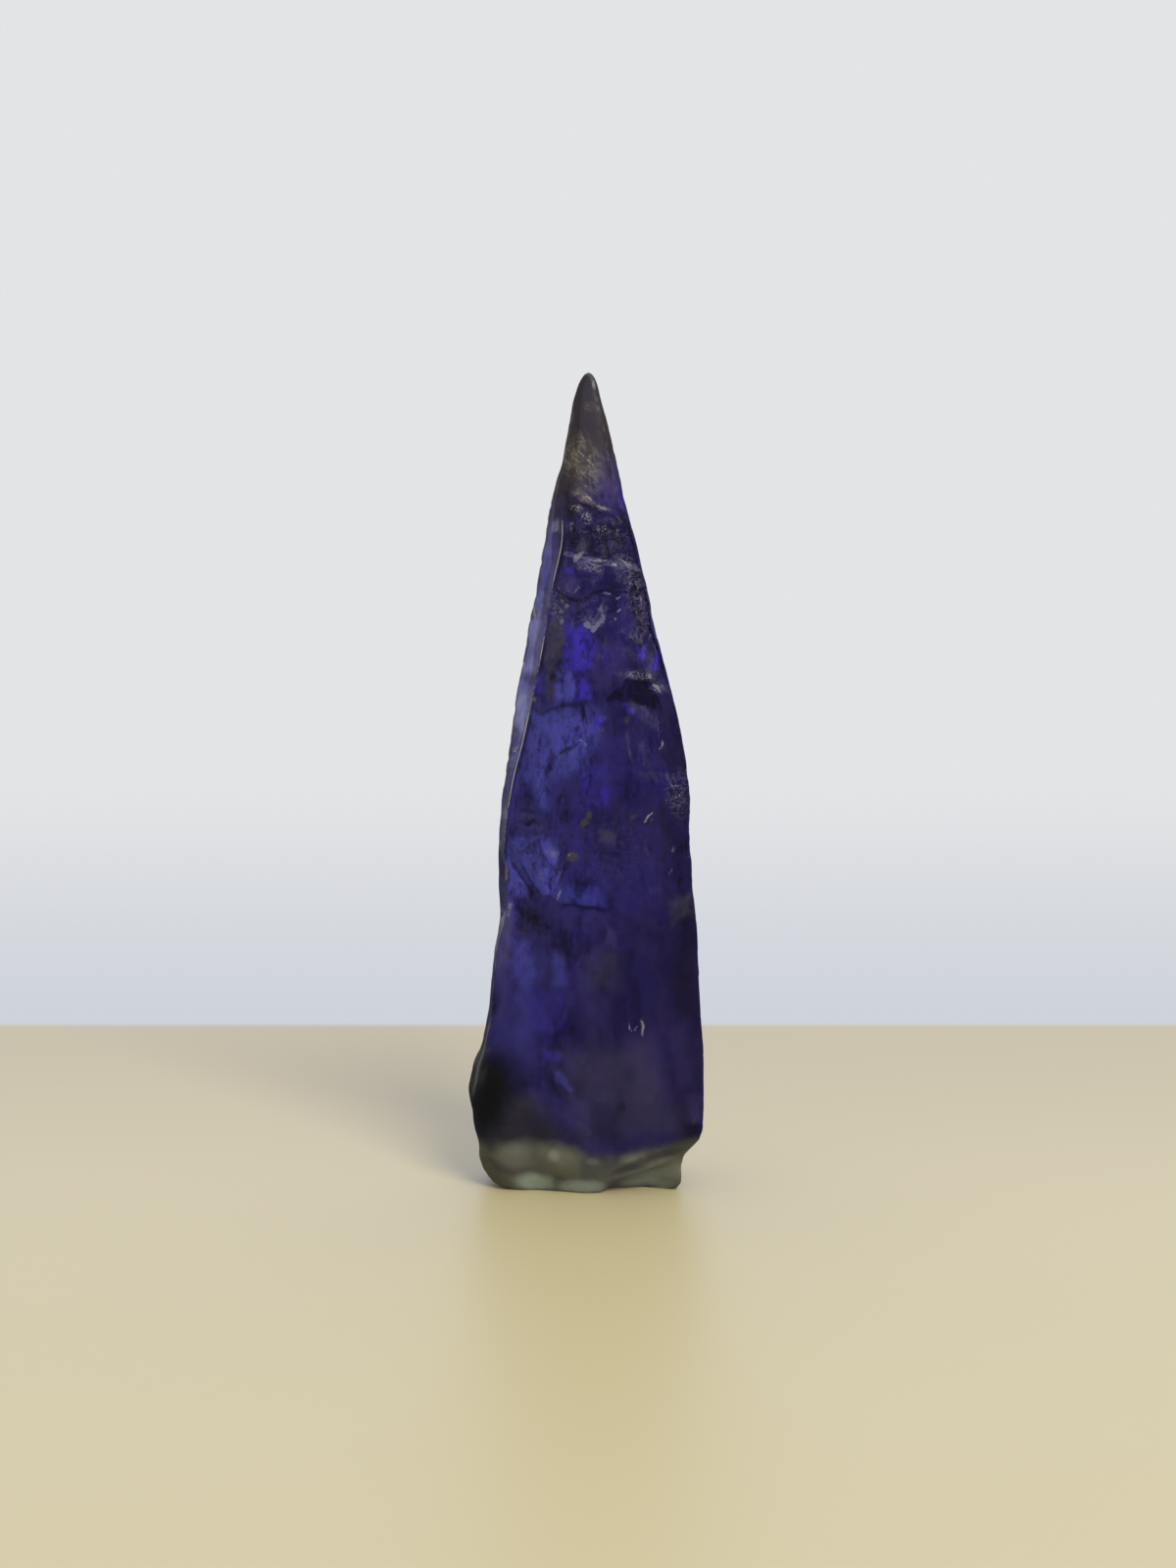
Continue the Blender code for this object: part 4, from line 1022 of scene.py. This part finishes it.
    rough = look.gloss + 0.42 * foot + 0.08 * tip + 0.2 * black + 0.05 * mottle
    height = grains * 0.4 + streaks * 0.12 + wrinkles * 0.6 + threads * 0.15
    height = height * (1 - 0.7 * tip) * (1 - 0.6 * foot) + 0.7 * spark * crumple
    bump = s.node("ShaderNodeBump", {}, {"Height": height, "Strength": 1.0, "Distance": look.grain})
    sockets = {"Base Color": colour, "Roughness": rough, "Normal": bump}
    sockets |= {"IOR": look.ior, "Transmission Weight": look.clearness}
    surface = s.node("ShaderNodeBsdfPrincipled", {}, sockets)
    sockets = {"Color": (*look.passing, 1.0), "Density": look.density}
    inside = s.node("ShaderNodeVolumeAbsorption", {}, sockets)
    s.node("ShaderNodeOutputMaterial", {}, {"Surface": surface, "Volume": inside})
    return material


def amount(name, description, default, subtype="NONE", **more):
    return FloatProperty(name=name, description=description, default=default, subtype=subtype, **more)


def length(name, description, default):
    return amount(name, description, default, "DISTANCE", precision=6)


def angle(name, description, degrees):
    return amount(name, description, np.radians(degrees), "ANGLE")


def tint(name, part, *values):
    description, default = "Colour of the " + part, (*values, 1.0)
    return FloatVectorProperty(
        name=name, description=description, default=default, size=4, subtype="COLOR", min=0.0, max=1.0
    )


class CrystalLook(bpy.types.PropertyGroup):
    """Sizes and colours of the crystal's surface."""

    relief: amount("Relief", "Share of the fine relief's depth", 1.0, min=0.0)
    line_depth: length("Growth line depth", "Depth of the lines up the faces", 0.022 * MM)
    line_spacing: length("Growth line spacing", "Distance between the lines", 0.55 * MM)
    grain: length("Grain", "Height of the finest unevenness", 0.05 * MM)
    gloss: amount("Roughness", "Roughness of the glassy faces", 0.07, "FACTOR")
    ior: amount("IOR", "How strongly the crystal bends light", 1.69)
    clearness: amount("Clearness", "Share of the light that enters the crystal", 0.6, "FACTOR")
    density: amount("Absorption", "How fast light fades inside, per metre", 170.0)
    passing: FloatVectorProperty(
        name="Passing colour", description="Colour of the light that fades least", default=(0.1, 0.05, 0.6),
        size=3, subtype="COLOR", min=0.0, max=1.0,
    )
    deep: tint("Deep blue", "body", 0.03, 0.022, 0.145)
    violet: tint("Violet", "cloudy parts", 0.04, 0.026, 0.125)
    # Clearer blue of random streaks, and of the painted light toward the left
    clear: tint("Clear blue", "lighter streaks", 0.085, 0.075, 0.44)
    bright: tint("Bright blue", "windows that glow", 0.105, 0.065, 0.95)
    # Dark: darker random tone, the dark lines, and the painted shade of the hollows
    dark: tint("Dark", "hollows", 0.012, 0.008, 0.032)
    brown: tint("Brown", "smoky patches", 0.14, 0.125, 0.19)
    # Colour of the painted light through the thin left edge
    pale: tint("Pale blue", "thin left edge", 0.4, 0.41, 0.79)
    tip: tint("Tip", "smoky tip", 0.095, 0.083, 0.09)
    # Tan of the tip's flecks and of the painted highlight on the scar's rim
    tan: tint("Tan", "flecks in the tip", 1.0, 0.88, 0.68)
    # Colour of the paler panes of painted light
    steel: tint("Steel blue", "paler panes", 0.165, 0.175, 0.95)
    lilac: tint("Lilac", "purplish panes", 0.12, 0.085, 0.33)
    # Whitish veils and painted glint dots
    veil: tint("Veil", "whitish spots", 0.42, 0.42, 0.6)
    # Painted highlight on fine edges and pale lines
    glint: tint("Glint", "fine bright edges", 0.85, 0.82, 0.92)
    gold: tint("Gold", "small inclusions", 0.15, 0.13, 0.065)
    black: tint("Black", "dark patch above the foot", 0.003, 0.0025, 0.0035)
    foot: tint("Foot", "broken foot", 0.25, 0.248, 0.14)
    foot_dark: tint("Foot, darker", "foot's darker patches", 0.13, 0.13, 0.09)
    # Colour of the painted shade in the foot's hollows
    foot_shade: tint("Foot, hollows", "foot's hollows", 0.07, 0.068, 0.07)
    # Colour of the painted highlights on the foot
    foot_highlight: tint("Foot, lighter", "foot's smooth lobes", 0.48, 0.5, 0.37)
    # Colour of the painted light along the foot's lower rim
    aqua: tint("Foot rim", "foot's thin lower rim", 0.75, 0.92, 0.74)
    # Colour of the painted highlight along the left ridge
    line: tint("Edge line", "worn left ridge", 1.0, 0.95, 0.85)


class StageLook(bpy.types.PropertyGroup):
    """The plain stage: its colours, its lights and the camera's place."""

    floor: tint("Floor", "floor round the crystal", 0.612, 0.534, 0.294)
    floor_edge: tint("Floor's edge", "near floor where it ends", 0.54, 0.456, 0.24)
    floor_roughness: amount("Floor's roughness", "Roughness of the near floor", 0.42, "FACTOR")
    floor_mirrors: tint("Floor's mirroring", "light that the floor mirrors", 0.59, 0.675, 1.0)
    floor_shine: amount("Floor's shine", "Brightness of what it mirrors", 1.6)
    backdrop: tint("Backdrop", "backdrop and of the far floor", 0.772, 0.779, 0.793)
    near_glow: tint("Near glow", "far floor's near end", 0.595, 0.628, 0.69)
    near_depth: length("Near floor", "How far back the warmer floor reaches", 0.061)
    even_depth: length("Even depth", "How far back the far floor is as light as the backdrop", 0.27)
    reach: length("Reach", "Half the floor's width", 6.0)
    front_light: amount("Front light", "Brightness in front", 0.16)
    back_light: amount("Back light", "Brightness behind the crystal", 0.85)
    low_light: amount("Low light", "Brightness below the floor", 0.1)
    top_light: amount("Top light", "Brightness overhead", 0.8)
    screen_radius: length("Screen radius", "How far round the crystal the screen stands", 0.2)
    screen_top: length("Screen top", "Height of its rim", 0.5)
    screen_level: amount("Screen", "Brightness of the mirrored screen", 0.06)
    window_level: amount("Window", "Brightness of its broad window", 0.85)
    window_edge: amount("Window edge", "Power that narrows the window", 40.0)
    window_angle: angle("Window angle", "Of the window, from straight in front", -124.0)
    light_level: amount("Lights", "Brightness of its two narrow lights", 1.1)
    light_edge: amount("Light edge", "Power that narrows each light", 500.0)
    right_light: angle("Right light", "Its angle, from straight in front", 50.0)
    left_light: angle("Left light", "Its angle, from straight in front", -76.0)
    key_power: amount("Key power", "Power of the soft lamp", 15.0, "POWER")
    key_size: length("Key size", "Width of the soft lamp", 0.6)
    lens: amount("Lens", "Focal length", 67.5, "DISTANCE_CAMERA")
    elevation: angle("Elevation", "How far above level the camera is", 8.0)
    distance: length("Distance", "From the camera to its target", 0.253)
    target: FloatVectorProperty(
        name="Target", description="What the camera looks at", default=(0.00026, 0.0, 0.03493), size=3,
        subtype="TRANSLATION",
    )


def show(name, data):
    """A new object in the scene, at the origin, that holds the data."""
    made = bpy.data.objects.new(name, data)
    bpy.context.scene.collection.objects.link(made)
    return made


class TANZANITE_OT_crystal(bpy.types.Operator):
    """Build the crystal's fine surface and give it its finish"""

    bl_idname = "tanzanite.crystal"
    bl_label = "Crystal"

    def execute(self, context):
        look = context.scene.crystal_look
        mesh = crystal_mesh(look)
        if mesh.validate():
            raise RuntimeError("the crystal's mesh had faces that Blender had to mend")
        mesh.materials.append(crystal_finish(look))
        crystal = show("crystal", mesh)
        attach(crystal, BODY)
        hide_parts(NODE)
        return {"FINISHED"}


def floor_finish(look):
    """Pale and faintly glossy near the crystal; behind it, and far away on every side, as even and light as
    the backdrop."""
    material, s = empty_finish("floor_finish")
    place = s.node("ShaderNodeTexCoord", out="Object")
    (depth,) = s.axes(place, "Y")
    away = s.number("ShaderNodeVectorMath", {"operation": "LENGTH"}, {0: place}, "Value")
    far = s.ease(look.near_depth - FLOOR_JOIN, look.near_depth + FLOOR_JOIN, depth)
    far = far.most(s.ease(*NEAR_FLOOR_ENDS, away))
    even = s.ease(0.0, look.even_depth, depth).most(s.ease(*FAR_FLOOR_DIM, away))
    near = s.layers(look.floor, (look.floor_edge, s.ease(FLOOR_TURNS, look.near_depth, depth)))
    sockets = {"Base Color": near, "Roughness": look.floor_roughness}
    glossy = s.node("ShaderNodeBsdfPrincipled", {}, sockets)
    glow = s.node("ShaderNodeEmission", {}, {"Color": s.layers(look.near_glow, (look.backdrop, even))})
    surface = s.node("ShaderNodeMixShader", {}, {0: far, 1: glossy, 2: glow})
    s.node("ShaderNodeOutputMaterial", {}, {"Surface": surface})
    return material


def studio_level(s, look, toward):
    """How bright the studio is in a direction: most behind the crystal and overhead, least in front and
    below."""
    back, up = s.axes(toward, "YZ")
    level = look.front_light + (look.back_light - look.front_light) * s.ease(-0.1, 0.6, back)
    level = level + (look.top_light - level) * s.ease(0.35, 0.9, up)
    return level + (look.low_light - level) * s.ease(0.0, -0.08, up)


def studio_light(look):
    """Soft light from all round; the camera itself sees the plain backdrop."""
    world = bpy.data.worlds.new("studio")
    s = Shader(world)
    level = studio_level(s, look, s.node("ShaderNodeTexCoord", out="Generated"))
    light = s.node("ShaderNodeBackground", {}, {"Color": STUDIO_WHITE, "Strength": level})
    seen = s.node("ShaderNodeBackground", {}, {"Color": look.backdrop, "Strength": 1.0})
    by_camera = s.node("ShaderNodeLightPath", out="Is Camera Ray")
    mixed = s.node("ShaderNodeMixShader", {}, {0: by_camera, 1: light, 2: seen})
    s.node("ShaderNodeOutputWorld", {}, {"Surface": mixed})
    return world


def screen_finish(look):
    """What the crystal's faces mirror: a dark screen with a broad window, which ends low down, and two narrow
    lights above the middle. Each brightens as ((1 + cos a) / 2) ** n, where a is the angle from it. The light
    is added to what stands behind, so that the floor still mirrors the shell."""
    material, s = empty_finish("screen_finish")
    x, y, z = s.axes(s.node("ShaderNodeTexCoord", out="Object"), "XYZ")
    round_it = x.math("ARCTAN2", x, 0 - y)

    def beam(toward, edge):
        return (0.5 + 0.5 * (round_it - toward).cosine()) ** edge

    lights = beam(look.right_light, look.light_edge) + beam(look.left_light, look.light_edge)
    window = beam(look.window_angle, look.window_edge) * s.ease(*WINDOW_SILL, z)
    level = look.screen_level + look.window_level * window
    level = level + look.light_level * s.ease(*LIGHTS_START, z) * s.ease(*LIGHTS_END, z) * lights
    light = s.node("ShaderNodeEmission", {}, {"Color": (1.0, 1.0, 1.0, 1.0), "Strength": level})
    both = s.node("ShaderNodeAddShader", {}, {0: light, 1: s.node("ShaderNodeBsdfTransparent")})
    s.node("ShaderNodeOutputMaterial", {}, {"Surface": both})
    return material


def shell_finish(look):
    """What the floor mirrors: as bright as the studio is in the same direction."""
    material, s = empty_finish("shell_finish")
    place = s.node("ShaderNodeTexCoord", out="Object")
    toward = s.node("ShaderNodeVectorMath", {"operation": "NORMALIZE"}, {0: place})
    shine = look.floor_shine * studio_level(s, look, toward)
    light = s.node("ShaderNodeEmission", {}, {"Color": look.floor_mirrors, "Strength": shine})
    s.node("ShaderNodeOutputMaterial", {}, {"Surface": light})
    return material


def screen(name, radius, high, finish, receiver):
    """An upright cylinder round the crystal, open at both ends: (radius cos a, radius sin a, height). Only
    reflections see it, and its light reaches the receiver alone."""
    around = np.linspace(0.0, 2 * np.pi, 97)[:-1]
    circle = radius * np.stack([np.cos(around), np.sin(around)], axis=1)
    corners = np.column_stack([np.tile(circle, (2, 1)), np.repeat((-high, high), len(around))])
    index = np.arange(len(around))
    after = np.roll(index, -1)
    faces = np.stack([after, index, index + len(around), after + len(around)], axis=1)
    mesh = bpy.data.meshes.new(name)
    mesh.from_pydata(corners.tolist(), [], faces.tolist())
    finish.cycles.emission_sampling = "NONE"
    mesh.materials.append(finish)
    made = show(name, mesh)
    made.visible_camera = made.visible_diffuse = made.visible_transmission = made.visible_shadow = False
    receivers = bpy.data.collections.new(name + "_receivers")
    receivers.objects.link(receiver)
    made.light_linking.receiver_collection = receivers


def stand(name, data, place, back):
    """A lamp or camera at a place, turned so that it looks along the opposite of back, level across."""
    made = show(name, data)
    made.location = place
    made.rotation_mode = "QUATERNION"
    made.rotation_quaternion = back.to_track_quat("Z", "Y")
    return made


class TANZANITE_OT_stage(bpy.types.Operator):
    """Set the plain floor, the soft light and the camera"""

    bl_idname = "tanzanite.stage"
    bl_label = "Stage"

    def execute(self, context):
        scene = context.scene
        look = scene.stage_look
        mesh = bpy.data.meshes.new("floor")
        corners = [(x * look.reach, y * look.reach, 0) for x, y in ((-1, -1), (1, -1), (1, 1), (-1, 1))]
        mesh.from_pydata(corners, [], [(0, 1, 2, 3)])
        mesh.materials.append(floor_finish(look))
        floor = show("floor", mesh)
        floor.visible_glossy = False

        crystal = bpy.data.objects["crystal"]
        screen("screen", look.screen_radius, look.screen_top, screen_finish(look), crystal)
        wide, high = (share * look.reach for share in SHELL_SHARES)
        screen("shell", wide, high, shell_finish(look), floor)

        scene.world = studio_light(look)
        lamp = bpy.data.lights.new("key", "AREA")
        lamp.energy, lamp.size, lamp.color = look.key_power, look.key_size, LAMP_COLOUR
        key = stand("key", lamp, LAMP_PLACE, LAMP_PLACE - Vector((0.0, 0.0, HEIGHT * MM / 2)))
        key.visible_camera = key.visible_glossy = False

        camera = bpy.data.cameras.new("camera")
        camera.lens = look.lens
        camera.clip_start, camera.clip_end = CLIP
        camera.dof.use_dof = False
        back = Vector((0.0, -np.cos(look.elevation), np.sin(look.elevation)))
        scene.camera = stand("camera", camera, Vector(look.target) + back * look.distance, back)
        scene.view_settings.view_transform = "Standard"
        return {"FINISHED"}


class TANZANITE_PT_panel(bpy.types.Panel):
    """Lists the crystal's operators, sizes and colours"""

    bl_label = "Tanzanite crystal"
    bl_space_type = "VIEW_3D"
    bl_region_type = "UI"
    bl_category = "Crystal"

    def draw(self, context):
        for operator, look in (
            (TANZANITE_OT_crystal, context.scene.crystal_look),
            (TANZANITE_OT_stage, context.scene.stage_look),
        ):
            box = self.layout.box()
            box.operator(operator.bl_idname)
            for name in look.__annotations__:
                box.prop(look, name)


CLASSES = (CrystalLook, StageLook, TANZANITE_OT_crystal, TANZANITE_OT_stage, TANZANITE_PT_panel)


def register():
    for made in CLASSES:
        bpy.utils.register_class(made)
    bpy.types.Scene.crystal_look = PointerProperty(type=CrystalLook)
    bpy.types.Scene.stage_look = PointerProperty(type=StageLook)


def unregister():
    del bpy.types.Scene.stage_look
    del bpy.types.Scene.crystal_look
    for made in reversed(CLASSES):
        bpy.utils.unregister_class(made)


def main():
    register()
    bpy.ops.tanzanite.crystal()
    bpy.ops.tanzanite.stage()


if __name__ == "__main__":
    main()
